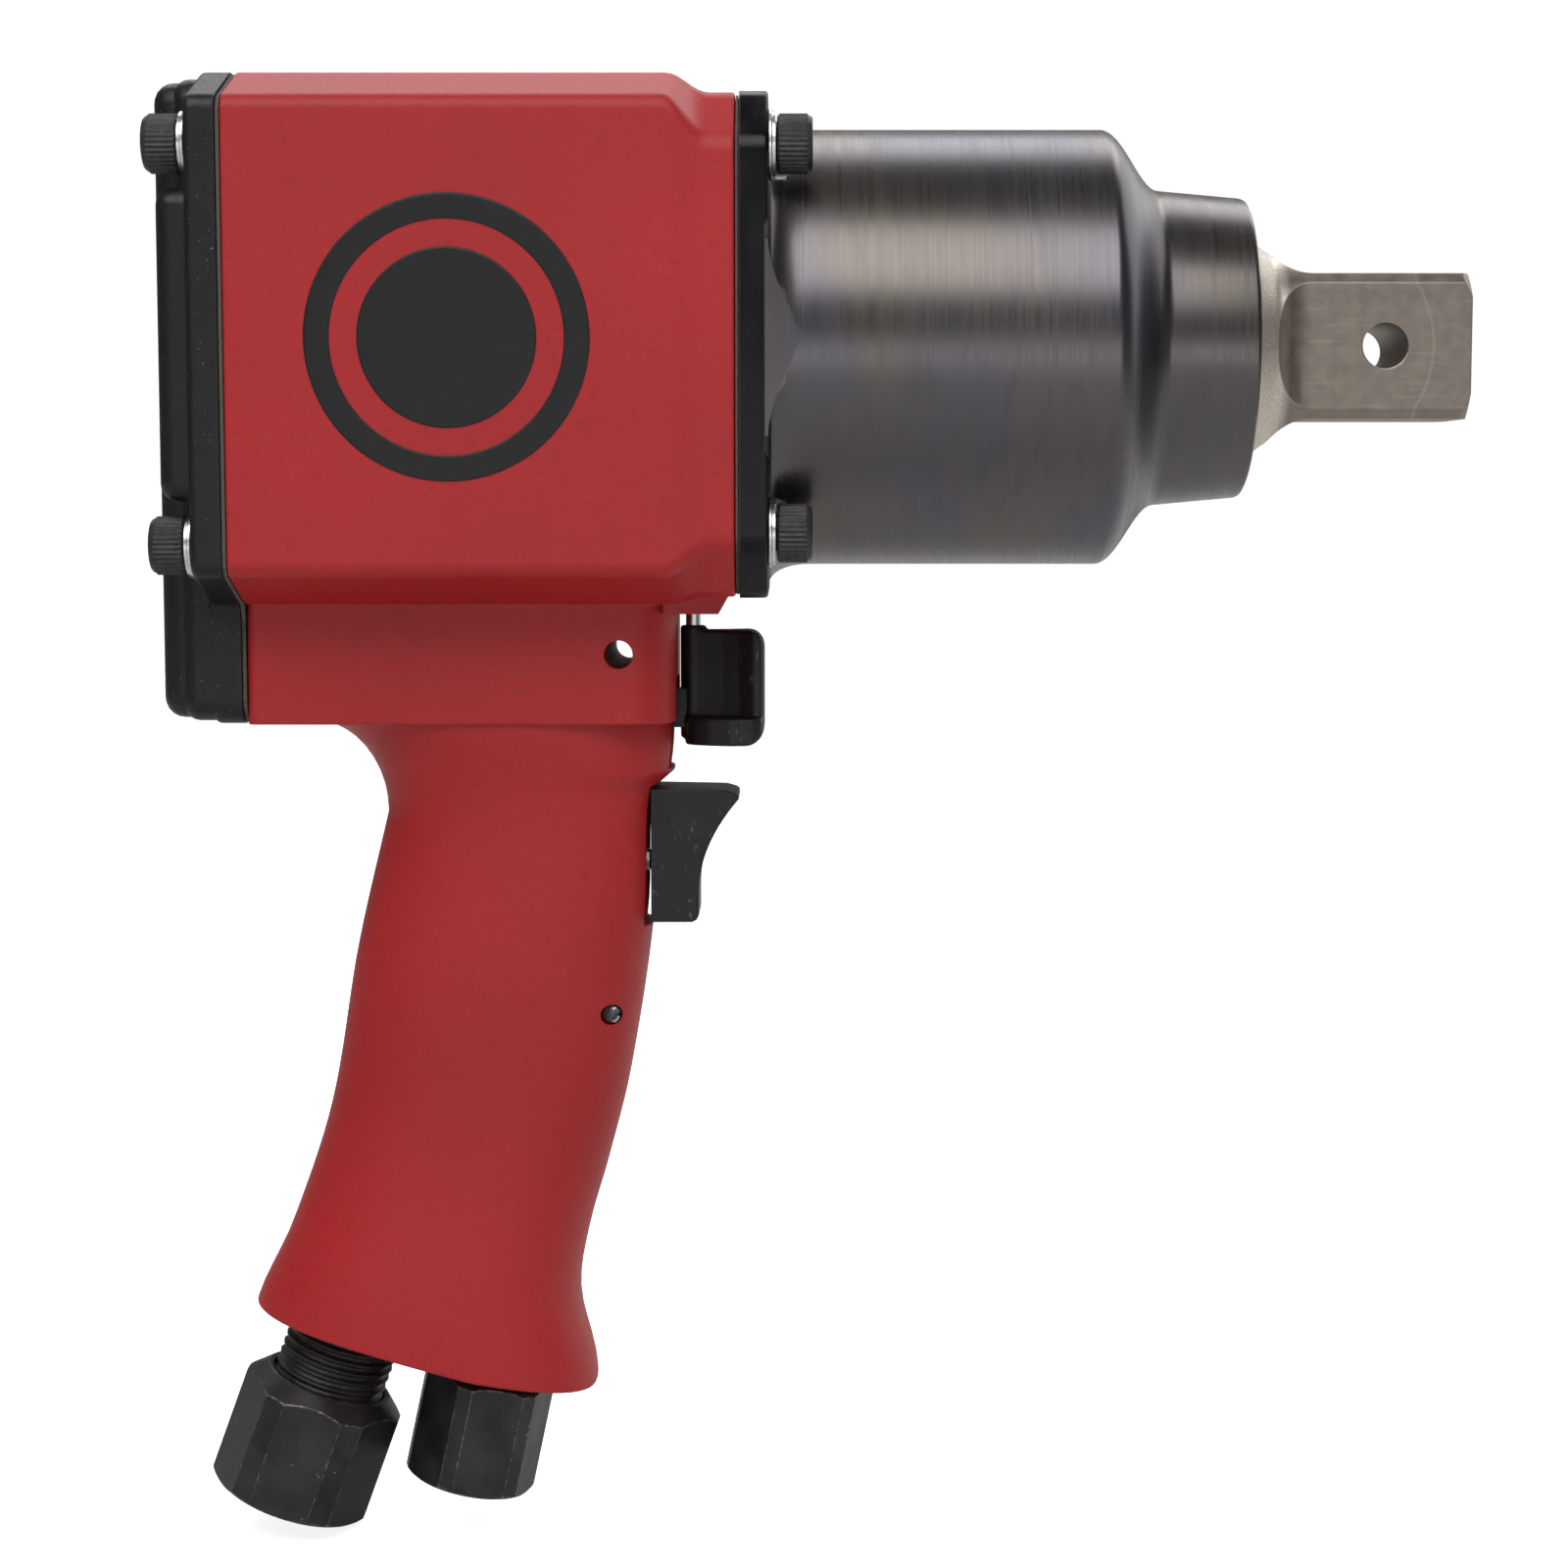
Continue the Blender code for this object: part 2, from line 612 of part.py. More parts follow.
def make_motor_housing():
    housing = add("motor_housing", barrel(), "red_paint")
    join(housing, (block(), None), (grip(), None), (lug(), None))
    inlet_top = INLET_LENGTH + INLET_NECK + INLET_SPIGOT + GAP
    exhaust_x = BLOCK_X - EXHAUST_PASSAGE_REACH
    ledge_z = RETAINER_Z - RETAINER_HEIGHT - GAP
    upper_z = REVERSE_Z - 0.004
    holes = [
        (foot_cutter(), None),
        (rod(BACK_X - 0.01, FRONT_X + 0.01, MOTOR_BORE, LARGE), None),
        # air supply: up from the inlet, past the throttle and the reverse valve to the motor
        (rod(0.0, inlet_top, INLET_SPIGOT_RADIUS + GAP, MEDIUM), down_from(*inlet_at(0.0), INLET_TILT)),
        between(inlet_at(inlet_top - 0.002), inlet_at(0.084), SUPPLY_RADIUS - 0.001),
        (rod(ledge_z, upper_z, SUPPLY_RADIUS, MEDIUM), at(SUPPLY_X) @ TO_Z),
        (rod(upper_z - 0.003, BARREL_BOTTOM + 0.015, SUPPLY_RADIUS - 0.002, SMALL), at(SUPPLY_X - 0.001) @ TO_Z),
        (reverse_chamber(), None),
        # exhaust: down from the motor to the rear fitting
        (rod(0.0, nipple_top() + GAP, NIPPLE_RADIUS + GAP, MEDIUM), down_from(*exhaust_at(0.0), EXHAUST_TILT)),
        between(exhaust_at(nipple_top() - 0.002), (exhaust_x, BLOCK_Z - ARMPIT_DEPTH), EXHAUST_PASSAGE_RADIUS),
        (rod(BLOCK_Z - ARMPIT_DEPTH - 0.002, BARREL_BOTTOM + 0.015, EXHAUST_PASSAGE_RADIUS, SMALL),
         at(exhaust_x) @ TO_Z),
        # throttle: the trigger's pocket, the rod's bore and the roll pin
        (box((TRIGGER_X - TRIGGER_TRAVEL - GAP, -TRIGGER_WIDTH / 2 - GAP, TRIGGER_Z - TRIGGER_HEIGHT - 2 * GAP),
             (TRIGGER_X + 0.008, TRIGGER_WIDTH / 2 + GAP, TRIGGER_Z + GAP)), None),
        (rod(SUPPLY_X, TRIGGER_X, ROD_RADIUS + GAP, TINY), at(0.0, 0.0, BLOCK_Z - ROD_DROP)),
        (rod(-0.03, 0.03, ROLL_PIN_RADIUS + GAP, TINY), at(BLOCK_X - ROLL_PIN_REACH, 0.0, BLOCK_Z - ROLL_PIN_DROP) @ TO_Y),
        # lever pin, detent and the hole for a hanger
        (rod(LUG_Z - 0.004, LUG_Z + LEVER_PIN_SOCKET, LEVER_PIN_RADIUS + GAP, TINY), at(LEVER_PIN_X) @ TO_Z),
        (rod(0.003, detent_end(), DETENT_RADIUS + GAP, TINY), at(REVERSE_X, 0.0, detent_z()) @ TO_Y),
        (rod(-0.03, 0.03, HANGER_HOLE_RADIUS, SMALL), at(BLOCK_X - HANGER_HOLE_REACH, 0.0, BLOCK_Z + HANGER_HOLE_RISE) @ TO_Y),
    ]
    holes += screw_holes(True, FRONT_X - 0.018, FRONT_X + 0.002) + screw_holes(False, BACK_X - 0.002, BACK_X + 0.018)
    cut(housing, *holes)


def back_outline(inset=0.0):
    """The (y, z) outline of the housing's back: the barrel with the block under it."""
    half, bottom = BLOCK_WIDTH / 2 - inset, BLOCK_Z + inset
    side, top = HALF_WIDTH - inset, BARREL_TOP - inset
    slope = BARREL_TOP_WIDTH / 2
    return mirrored([(slope, top, 0.004), (side, top - 0.006, 0.003), (side, BARREL_BOTTOM + 0.0055, 0.003),
                     (half + 0.0015, BARREL_BOTTOM, 0.0015), (half, BARREL_BOTTOM - 0.003, 0.0015), (half, bottom, 0.004)])


def cover_cross(inset):
    """The cover's raised part, notched at its corners for the screws' heads."""
    high, low = SCREW_Z - COVER_NOTCH - inset, -SCREW_Z - REAR_LOW_SCREW_DROP + COVER_NOTCH + inset
    band, side = COVER_BAND_WIDTH / 2 - inset, HALF_WIDTH - 0.0015 - inset
    return mirrored([(band, BARREL_TOP - 0.0005 - inset, 0.004), (band, high, 0.0), (side, high, 0.001),
                     (side, low, 0.001), (band, low, 0.0), (band, BLOCK_Z + 0.0005 + inset, 0.004)])


def cover_band(inset):
    """The highest part of the cover, a band from its top down to the grip's block."""
    band = COVER_BAND_WIDTH / 2 - 0.001 - inset
    return mirrored([(band, BARREL_TOP - 0.001 - inset, 0.004), (band, BLOCK_Z + 0.001 + inset, 0.004)])


def crowned(section, start, end, radius, steps=3):
    """A section extruded towards -X, with a round edge where it ends."""
    rings = [ring_at(start, rounded(section(0.0), 2))]
    for k in range(steps + 1):
        turn = math.radians(90 * k / steps)
        rings.append(ring_at(end + radius * (1 - math.sin(turn)), rounded(section(radius * (1 - math.cos(turn))), 2)))
    return lofted(rings)


def make_rear_cover():
    cover = add("rear_cover", prism(rounded(back_outline()), COVER_X, COVER_X - COVER_PLATE, "X"), "black_paint")
    start = COVER_X - 0.002
    join(cover, (crowned(cover_cross, start, COVER_X - COVER_SIDE_HEIGHT, COVER_ROUND), None),
         (crowned(cover_band, start, COVER_X - COVER_BAND_HEIGHT, COVER_ROUND), None))
    hollow = COVER_X - COVER_SIDE_HEIGHT + 0.003
    cut(cover, (rod(COVER_X + 0.002, hollow, MOTOR_BORE - 0.0055, MEDIUM), None),
        *screw_holes(False, COVER_X - COVER_BAND_HEIGHT - 0.002, COVER_X + 0.002))


def make_gasket(name, outline, x, thickness, front):
    gasket = add(name, prism(rounded(outline), x, x - thickness, "X"), "gasket_paper")
    cut(gasket, (rod(x + 0.002, x - thickness - 0.002, MOTOR_BORE + 0.0005, LARGE), None),
        *screw_holes(front, x + 0.002, x - thickness - 0.002))


def make_hammer_case():
    nose_end, step = NOSE_X - NOSE_LENGTH, (CASE_RADIUS - NOSE_RADIUS - NOSE_TAPER)
    base = NOSE_RADIUS + NOSE_TAPER
    face_x = FLANGE_X + FLANGE_THICKNESS
    shoulder = [(nose_end - SHOULDER_LENGTH * t, base + step * (1 - math.cos(math.pi * t)) / 2)
                for t in (0.15, 0.3, 0.45, 0.6, 0.75, 0.9)]
    fillet = [(face_x + FLANGE_FILLET * 2 * (1 - math.sin(a)), CASE_RADIUS + FLANGE_FILLET * (1 - math.cos(a)))
              for a in (math.radians(22.5 * k) for k in range(1, 5))]
    profile = [(NOSE_X, 0.0), (NOSE_X, NOSE_RADIUS - 0.0008), (NOSE_X - 0.001, NOSE_RADIUS), (nose_end, base),
               *shoulder, (SHOULDER_X, CASE_RADIUS), (face_x + 2 * FLANGE_FILLET, CASE_RADIUS), *fillet,
               (FLANGE_X + 0.002, CASE_RADIUS + FLANGE_FILLET), (FLANGE_X + 0.002, 0.0)]
    case = add("hammer_case", spun(profile, LARGE), "blued_steel")
    side = HALF_WIDTH - 0.0008
    keep_within(case, box((FLANGE_X, -side - 0.0014, -0.1), (0.0, side + 0.0014, 0.1)))
    flange = prism(rounded(collar_outline(-0.0002)), FLANGE_X, face_x, "X")
    bore, lip = BUSHING_RADIUS + GAP, SHANK_RADIUS + 0.0009
    cavity = [(NOSE_X + 0.002, 0.0), (NOSE_X + 0.002, lip), (NOSE_X - LIP_LENGTH, lip), (NOSE_X - LIP_LENGTH, bore),
              (STEP_X, bore), (STEP_X, bore + 0.004), (STEP_X - 0.005, CAVITY_RADIUS),
              (FLANGE_X - 0.002, CAVITY_RADIUS), (FLANGE_X - 0.002, 0.0)]
    join(case, (flange, None))
    spot_faces = [(rod(face_x, face_x + 0.012, WASHER_RADIUS + GAP, MEDIUM), at(0.0, y, z)) for y, z in screw_places(True)]
    cut(case, (spun(cavity, LARGE), None), *spot_faces, *screw_holes(True, FLANGE_X - 0.002, face_x + 0.002))


# --- Fasteners ----------------------------------------------------------------------


def screw_mesh():
    """A socket-head cap screw along X, its head's seat at x = 0 and its head at -X."""
    head, edge = SCREW_HEAD_HEIGHT, 0.0005
    profile = [(-head, 0.0), (-head, SCREW_HEAD_RADIUS - edge), (-head + edge, SCREW_HEAD_RADIUS),
               (0.0, SCREW_HEAD_RADIUS), (0.0, SCREW_RADIUS), (SCREW_LENGTH - edge, SCREW_RADIUS),
               (SCREW_LENGTH, SCREW_RADIUS - edge), (SCREW_LENGTH, 0.0)]
    blank = add("screw_blank", spun(profile, SMALL), "black_oxide")
    corner = SOCKET_WIDTH / math.sqrt(3)
    hexagon = [(corner * math.cos(math.radians(60 * k)), corner * math.sin(math.radians(60 * k))) for k in range(6)]
    cut(blank, (prism(hexagon, -head - 0.001, -head + SOCKET_DEPTH, "X"), None))
    return bake(blank)


def bake(item):
    """The item's mesh with its modifiers applied; the item and its tools are removed."""
    mesh = bpy.data.meshes.new_from_object(item.evaluated_get(bpy.context.evaluated_depsgraph_get()))
    for modifier in item.modifiers:
        for tool in modifier.collection.objects if modifier.type == "BOOLEAN" else ():
            bpy.data.objects.remove(tool, do_unlink=True)
    bpy.data.objects.remove(item, do_unlink=True)
    return mesh


def place(name, mesh, matrix):
    item = bpy.data.objects.new(name, mesh)
    bpy.context.scene.collection.objects.link(item)
    item.matrix_world = matrix
    return item


def make_fasteners():
    screw = screw_mesh()
    ring = spun([(0.0, SCREW_RADIUS + GAP), (0.0, WASHER_RADIUS), (WASHER_THICKNESS, WASHER_RADIUS),
                 (WASHER_THICKNESS, SCREW_RADIUS + GAP)], SMALL)
    washer = bake(add("washer_blank", ring, "zinc"))
    turn = Matrix.Rotation(math.pi, 4, "Z")
    corners = ("top_left", "top_right", "bottom_left", "bottom_right")
    front_seat = FLANGE_X + FLANGE_THICKNESS
    rear_seat = COVER_X - COVER_PLATE
    for corner, (y, z) in zip(corners, screw_places(True)):
        place(f"front_washer_{corner}", washer, at(front_seat + SEAM, y, z))
        place(f"front_screw_{corner}", screw, at(front_seat + WASHER_THICKNESS + 2 * SEAM, y, z) @ turn)
    for corner, (y, z) in zip(corners, screw_places(False)):
        place(f"rear_washer_{corner}", washer, at(rear_seat - SEAM, y, z) @ turn)
        place(f"rear_screw_{corner}", screw, at(rear_seat - WASHER_THICKNESS - 2 * SEAM, y, z))


# --- Anvil and hammer ---------------------------------------------------------------


def jaw(angle):
    """One driving jaw: a sector of a ring behind the anvil's flange."""
    inner, outer = PILOT_RADIUS - 0.001, SHANK_RADIUS + 0.009
    arc = [angle + JAW_ANGLE * (k / 6 - 0.5) for k in range(7)]
    outline = [(outer * math.cos(a), outer * math.sin(a)) for a in arc]
    outline += [(inner * math.cos(a), inner * math.sin(a)) for a in reversed(arc)]
    return prism(outline, PILOT_X, JAW_X + 0.001, "X")


def make_anvil():
    half, tip = DRIVE_WIDTH / 2, DRIVE_TIP_CHAMFER
    flat = half - DRIVE_CORNER
    corner_radius = math.hypot(half, flat)
    square = [(half, flat), (flat, half), (-flat, half), (-half, flat), (-half, -flat), (-flat, -half), (flat, -half),
              (half, -flat)]
    anvil = add("anvil", prism(square, NOSE_X - 0.001, 0.001, "X"), "drive_steel")
    keep_within(anvil, spun([(0.0, 0.0), (0.0, corner_radius - tip), (-tip, corner_radius), (NOSE_X - 0.002, corner_radius),
                             (NOSE_X - 0.002, 0.0)], LARGE))
    rise = SHANK_RADIUS - half
    neck = [(-DRIVE_LENGTH - (NECK_LENGTH - NECK_STRAIGHT) * t, half + rise * (1 - math.cos(math.pi * t**0.9)) / 2)
            for t in (0.0, 0.15, 0.3, 0.45, 0.6, 0.8, 1.0)]
    body = [(-DRIVE_LENGTH + 0.002, 0.0), (-DRIVE_LENGTH + 0.002, half - 0.0005), *neck,
            (ANVIL_X, SHANK_RADIUS), (ANVIL_X, SHANK_RADIUS + 0.0068), (JAW_X, SHANK_RADIUS + 0.0068),
            (JAW_X, PILOT_RADIUS), (PILOT_END_X + 0.001, PILOT_RADIUS), (PILOT_END_X, PILOT_RADIUS - 0.001),
            (PILOT_END_X, 0.0)]
    join(anvil, (spun(body, LARGE), None), (jaw(math.pi / 2), None), (jaw(-math.pi / 2), None))
    cut(anvil, (rod(-0.02, 0.02, RETAINER_HOLE_RADIUS, SMALL), at(RETAINER_HOLE_X) @ TO_Y))


def make_nose_pieces():
    inner, outer = SHANK_RADIUS + GAP, BUSHING_RADIUS
    seal_x = NOSE_X - LIP_LENGTH - GAP
    bushing_x = seal_x - SEAL_LENGTH - GAP
    add("anvil_seal", tube(seal_x, seal_x - SEAL_LENGTH, inner, outer, MEDIUM), "rubber")
    add("anvil_bushing", tube(bushing_x, STEP_X + GAP, inner, outer, LARGE), "bronze")
    add("thrust_washer", tube(STEP_X - GAP, STEP_X - GAP - THRUST_WASHER, inner, outer + 0.003, MEDIUM), "ground_steel")


def spline_outline(radius):
    """A shaft's splines: teeth between the given radius and the depth below it."""
    outline = []
    for tooth in range(SPLINE_TEETH):
        for turn, reach in ((0.0, radius), (0.4, radius), (0.55, radius - SPLINE_DEPTH), (0.85, radius - SPLINE_DEPTH)):
            angle = 2 * math.pi * (tooth + turn) / SPLINE_TEETH
            outline.append((reach * math.cos(angle), reach * math.sin(angle)))
    return outline


def on_circle(radius, degrees):
    return at(0.0, radius * math.cos(math.radians(degrees)), radius * math.sin(math.radians(degrees)))


HAMMER_PIN_ANGLES = {"hammer_pin_a": 45, "hammer_pin_b": 225}
FOLLOWER_ANGLE = 135


def make_hammer():
    outer = CAVITY_RADIUS - CAGE_CLEARANCE
    cage_end = CAGE_X - CAGE_LENGTH
    cage = add("hammer_cage", rod(CAGE_X, cage_end, outer, LARGE, 0.001), "ground_steel")
    pocket = PILOT_END_X - GAP
    cut(cage, (rod(CAGE_X + 0.002, pocket, PILOT_RADIUS + GAP, MEDIUM), None),
        (prism(spline_outline(SPLINE_RADIUS + GAP), WEB_X - 0.001, pocket - 0.002, "X"), None),
        (rod(WEB_X, cage_end - 0.002, outer - 0.003, LARGE), None),
        (rod(CAGE_X + 0.002, WEB_X - 0.002, FOLLOWER_RADIUS + GAP, SMALL), on_circle(FOLLOWER_CIRCLE, FOLLOWER_ANGLE)),
        *[(rod(CAGE_X + 0.002, WEB_X - 0.002, PIN_RADIUS + GAP, SMALL), on_circle(PIN_CIRCLE, angle))
          for angle in HAMMER_PIN_ANGLES.values()])
    add("pin_carrier", tube(CARRIER_X, CARRIER_X - CARRIER_THICKNESS, SPLINE_RADIUS + 0.002, outer - 0.0036, MEDIUM),
        "ground_steel")
    for name, angle in HAMMER_PIN_ANGLES.items():
        start = CARRIER_X + SEAM
        add(name, rod(start, start + PIN_LENGTH, PIN_RADIUS, SMALL, 0.0006), "ground_steel", on_circle(PIN_CIRCLE, angle))
    add("cam_follower", rod(CARRIER_X + SEAM, CARRIER_X + PIN_LENGTH - 0.004, FOLLOWER_RADIUS, SMALL, 0.0006),
        "ground_steel", on_circle(FOLLOWER_CIRCLE, FOLLOWER_ANGLE))


# --- Air motor ----------------------------------------------------------------------


def bearing(name, x, sizes):
    """A closed ball bearing: inner and outer races with shields a little sunk."""
    bore, outer, width = sizes
    race, sunk = (outer - bore) * 0.3, 0.0005
    profile = [(x, bore), (x, bore + race), (x - sunk, bore + race), (x - sunk, outer - race), (x, outer - race),
               (x, outer), (x - width, outer), (x - width, bore)]
    add(name, spun(profile, MEDIUM), "ground_steel")


def dowel_place():
    return at(0.0, 0.0, STACK_RADIUS - 0.004) @ Matrix.Rotation(math.radians(7), 4, "X")


def make_motor_cylinder():
    cylinder = add("motor_cylinder", rod(CYLINDER_X, CYLINDER_END_X, STACK_RADIUS, LARGE), "cast_iron")
    reach = STACK_RADIUS + 0.002
    cut(cylinder, (rod(CYLINDER_X + 0.002, CYLINDER_END_X - 0.002, CYLINDER_BORE, LARGE), at(0.0, 0.0, -ECCENTRICITY)),
        (rod(CYLINDER_X + 0.002, CYLINDER_END_X - 0.002, DOWEL_RADIUS + GAP, TINY), dowel_place()),
        *[(rod(-reach, -reach / 2, 0.0045, SMALL), at(x) @ TO_Z)
          for x in (SUPPLY_X - 0.001, BLOCK_X - EXHAUST_PASSAGE_REACH)])


def make_end_plate(name, front, back, sizes, bearing_x, shaft):
    """An end plate of the motor, with its bearing's pocket and the dowel's hole."""
    bore, outer, width = sizes
    plate = add(name, rod(front, back, STACK_RADIUS, LARGE), "aluminium")
    middle = (front + back) / 2
    if bearing_x > front - 0.001:
        pocket, dowel = (front + 0.002, bearing_x - width - 0.0002), (middle, back - 0.002)
    else:
        pocket, dowel = (bearing_x + 0.0002, back - 0.002), (front + 0.002, middle)
    cut(plate, (rod(*pocket, outer + GAP, MEDIUM), None), (rod(front + 0.002, back - 0.002, shaft, MEDIUM), None),
        (rod(*dowel, DOWEL_RADIUS + GAP, TINY), dowel_place()))


def rotor_outline():
    """The rotor's section, a circle with a slot for each vane."""
    half, floor = VANE_THICKNESS / 2 + GAP, ROTOR_RADIUS - VANE_HEIGHT - GAP
    mouth = math.asin(half / ROTOR_RADIUS)
    outline = []
    for vane in range(VANES):
        angle = math.radians(90) + 2 * math.pi * vane / VANES
        out, side = Vector((math.cos(angle), math.sin(angle))), Vector((-math.sin(angle), math.cos(angle)))
        reach = ROTOR_RADIUS * math.cos(mouth)
        outline += [tuple(out * reach - side * half), tuple(out * floor - side * half), tuple(out * floor + side * half),
                    tuple(out * reach + side * half)]
        gap = 2 * math.pi / VANES - 2 * mouth
        outline += [(ROTOR_RADIUS * math.cos(angle + mouth + gap * k / 7), ROTOR_RADIUS * math.sin(angle + mouth + gap * k / 7))
                    for k in range(1, 7)]
    return outline


def make_rotor(front_bearing_x, rear_bearing_x):
    front, back = CYLINDER_X - GAP, CYLINDER_END_X + GAP
    journal, tail = FRONT_BEARING[0] - GAP, REAR_BEARING[0] - GAP
    shaft_end = rear_bearing_x - REAR_BEARING[2] - 0.001
    spline_x = WEB_X - 0.003
    shaft = [(spline_x, 0.0), (spline_x, SPLINE_RADIUS + 0.0006), (front_bearing_x + 0.0016, SPLINE_RADIUS + 0.0006),
             (front_bearing_x + 0.001, journal), (front_bearing_x - FRONT_BEARING[2] - 0.001, journal),
             (back, journal), (back, tail), (shaft_end, tail), (shaft_end, 0.0)]
    rotor = add("rotor", prism(rotor_outline(), front, back, "X"), "ground_steel")
    splines = prism(spline_outline(SPLINE_RADIUS), spline_x - 0.001, PILOT_END_X - GAP - 0.0025, "X")
    join(rotor, (spun(shaft, MEDIUM), None), (splines, None))
    for vane in range(VANES):
        low, high = ROTOR_RADIUS - VANE_HEIGHT, ROTOR_RADIUS - 0.0002
        half = VANE_THICKNESS / 2
        plate = box((front - GAP, -half, low), (back + GAP, half, high))
        add(f"vane_{vane + 1}", plate, "fibre", Matrix.Rotation(2 * math.pi * vane / VANES, 4, "X"))


def make_motor():
    front_bearing_x = PLATE_X - SEAM
    rear_back = REAR_PLATE_X - END_PLATE
    rear_bearing_x = rear_back + REAR_BEARING[2] + SEAM
    make_motor_cylinder()
    make_end_plate("front_end_plate", PLATE_X, CYLINDER_X + SEAM, FRONT_BEARING, front_bearing_x, FRONT_BEARING[0] + 0.001)
    make_end_plate("rear_end_plate", REAR_PLATE_X, rear_back, REAR_BEARING, rear_bearing_x, REAR_BEARING[0] + 0.001)
    bearing("front_bearing", front_bearing_x, FRONT_BEARING)
    bearing("rear_bearing", rear_bearing_x, REAR_BEARING)
    make_rotor(front_bearing_x, rear_bearing_x)
    dowel_front, dowel_back = (PLATE_X + CYLINDER_X + SEAM) / 2 - GAP, REAR_PLATE_X - END_PLATE / 2 + GAP
    add("dowel_pin", rod(dowel_front, dowel_back, DOWEL_RADIUS, TINY, 0.0003), "ground_steel", dowel_place())
    ring_x = rear_back - SEAM
    add("motor_stack_spring", tube(ring_x, COVER_X + SEAM, STACK_RADIUS - 0.0055, STACK_RADIUS - 0.0008, MEDIUM), "rubber")


# --- Throttle -----------------------------------------------------------------------


def trigger_outline():
    """The trigger from the side: flat back, hooked top and a hollow front."""
    low, front = TRIGGER_Z - TRIGGER_HEIGHT, TRIGGER_X + TRIGGER_DEPTH
    hollow = 0.7 * TRIGGER_HEIGHT
    curve = [(front + TRIGGER_TIP * (1 - k / 7) ** 2, TRIGGER_Z - 0.0022 - hollow * k / 7) for k in range(8)]
    return [(TRIGGER_X, TRIGGER_Z - 0.0004), (front + TRIGGER_TIP - 0.0014, TRIGGER_Z - 0.0006),
            (front + TRIGGER_TIP, TRIGGER_Z - 0.0015), *curve, (front, low + 0.001), (front - 0.0008, low), (TRIGGER_X, low)]


def spring(radius, wire, turns, height, sides=5, steps=12):
    """A coil spring standing on z = 0, its wire's ends closed."""
    rings = []
    for k in range(int(turns * steps) + 1):
        angle = 2 * math.pi * k / steps
        middle = Vector((radius * math.cos(angle), radius * math.sin(angle), wire + (height - 2 * wire) * k / (turns * steps)))
        out = Vector((math.cos(angle), math.sin(angle), 0.0))
        rings.append([middle + wire * (out * math.cos(a) + Vector((0, 0, math.sin(a))))
                      for a in (2 * math.pi * s / sides for s in range(sides))])
    return lofted(rings)


def make_throttle():
    pull = (TRIGGER_X, 0.0, BLOCK_Z - ROD_DROP)
    half = TRIGGER_WIDTH / 2
    trigger = add("trigger", prism(trigger_outline(), -half, half, "Y"), "nylon", None, pull)
    soften(trigger, 0.0006)
    rod_end = SUPPLY_X + VALVE_STEM_RADIUS + GAP
    add("trigger_rod", rod(TRIGGER_X - SEAM, rod_end, ROD_RADIUS, TINY, 0.0004), "ground_steel",
        at(0.0, 0.0, BLOCK_Z - ROD_DROP), pull)
    seat = add("throttle_seat", tube(SEAT_Z, SEAT_Z - SEAT_HEIGHT, SEAT_BORE_RADIUS, SUPPLY_RADIUS - GAP, MEDIUM), "bronze",
               at(SUPPLY_X) @ TO_Z)
    cut(seat, (rod(-0.02, 0.02, ROLL_PIN_RADIUS + GAP, TINY), at(BLOCK_X - ROLL_PIN_REACH, 0.0, BLOCK_Z - ROLL_PIN_DROP) @ TO_Y))
    stem_top = BLOCK_Z - VALVE_STEM_TOP_DROP
    valve = [(stem_top, 0.0), (stem_top, VALVE_STEM_RADIUS - 0.0004), (stem_top - 0.0004, VALVE_STEM_RADIUS),
             (VALVE_Z, VALVE_STEM_RADIUS), (VALVE_Z, VALVE_RADIUS), (VALVE_Z - VALVE_HEIGHT, VALVE_RADIUS),
             (VALVE_Z - VALVE_HEIGHT, 0.0)]
    add("throttle_valve", spun(valve, SMALL), "rubber", at(SUPPLY_X) @ TO_Z, (SUPPLY_X + VALVE_RADIUS, 0.0, VALVE_Z))
    add("valve_spring", spring(SPRING_RADIUS, SPRING_WIRE, SPRING_TURNS, SPRING_HEIGHT), "ground_steel",
        at(SUPPLY_X, 0.0, SPRING_Z - SPRING_HEIGHT))
    add("spring_retainer", tube(RETAINER_Z, RETAINER_Z - RETAINER_HEIGHT, RETAINER_BORE_RADIUS, SUPPLY_RADIUS - GAP, SMALL),
        "bronze", at(SUPPLY_X) @ TO_Z)
    reach = smooth(GRIP_HALF_WIDTH, ROLL_PIN_DROP) * 0.7
    add("roll_pin", rod(-reach, reach, ROLL_PIN_RADIUS, TINY, 0.0003), "ground_steel",
        at(BLOCK_X - ROLL_PIN_REACH, 0.0, BLOCK_Z - ROLL_PIN_DROP) @ TO_Y)


# --- Reverse ------------------------------------------------------------------------


def detent_z():
    return REVERSE_Z - REVERSE_HEIGHT / 2 + 0.0005


def detent_end():
    return REVERSE_RADIUS + 2 * GAP + 2 * DETENT_RADIUS + DETENT_SPRING + GAP


def lever_plan(rim):
    """Half the lever from above, as (x, y): the waisted web, or the wider lower rim."""
    pin, front = LEVER_PIN_X, BLOCK_X - LEVER_FRONT_REACH
    if rim:
        return [(front, 0.0), (front, 0.0055), (front - 0.0018, 0.0082), (front - 0.006, 0.0088), (pin, 0.0058),
                (pin - 0.0016, 0.0042), (pin - 0.0016, 0.0)]
    return [(front, 0.0), (front, 0.0052), (front - 0.0014, 0.0066), (front - 0.004, 0.0052), (front - 0.0075, 0.0038),
            (pin + 0.002, 0.0032), (pin, 0.0022), (pin, 0.0)]


def both_sides(half):
    return half + [(x, -y) for x, y in reversed(half) if y > 0.0]


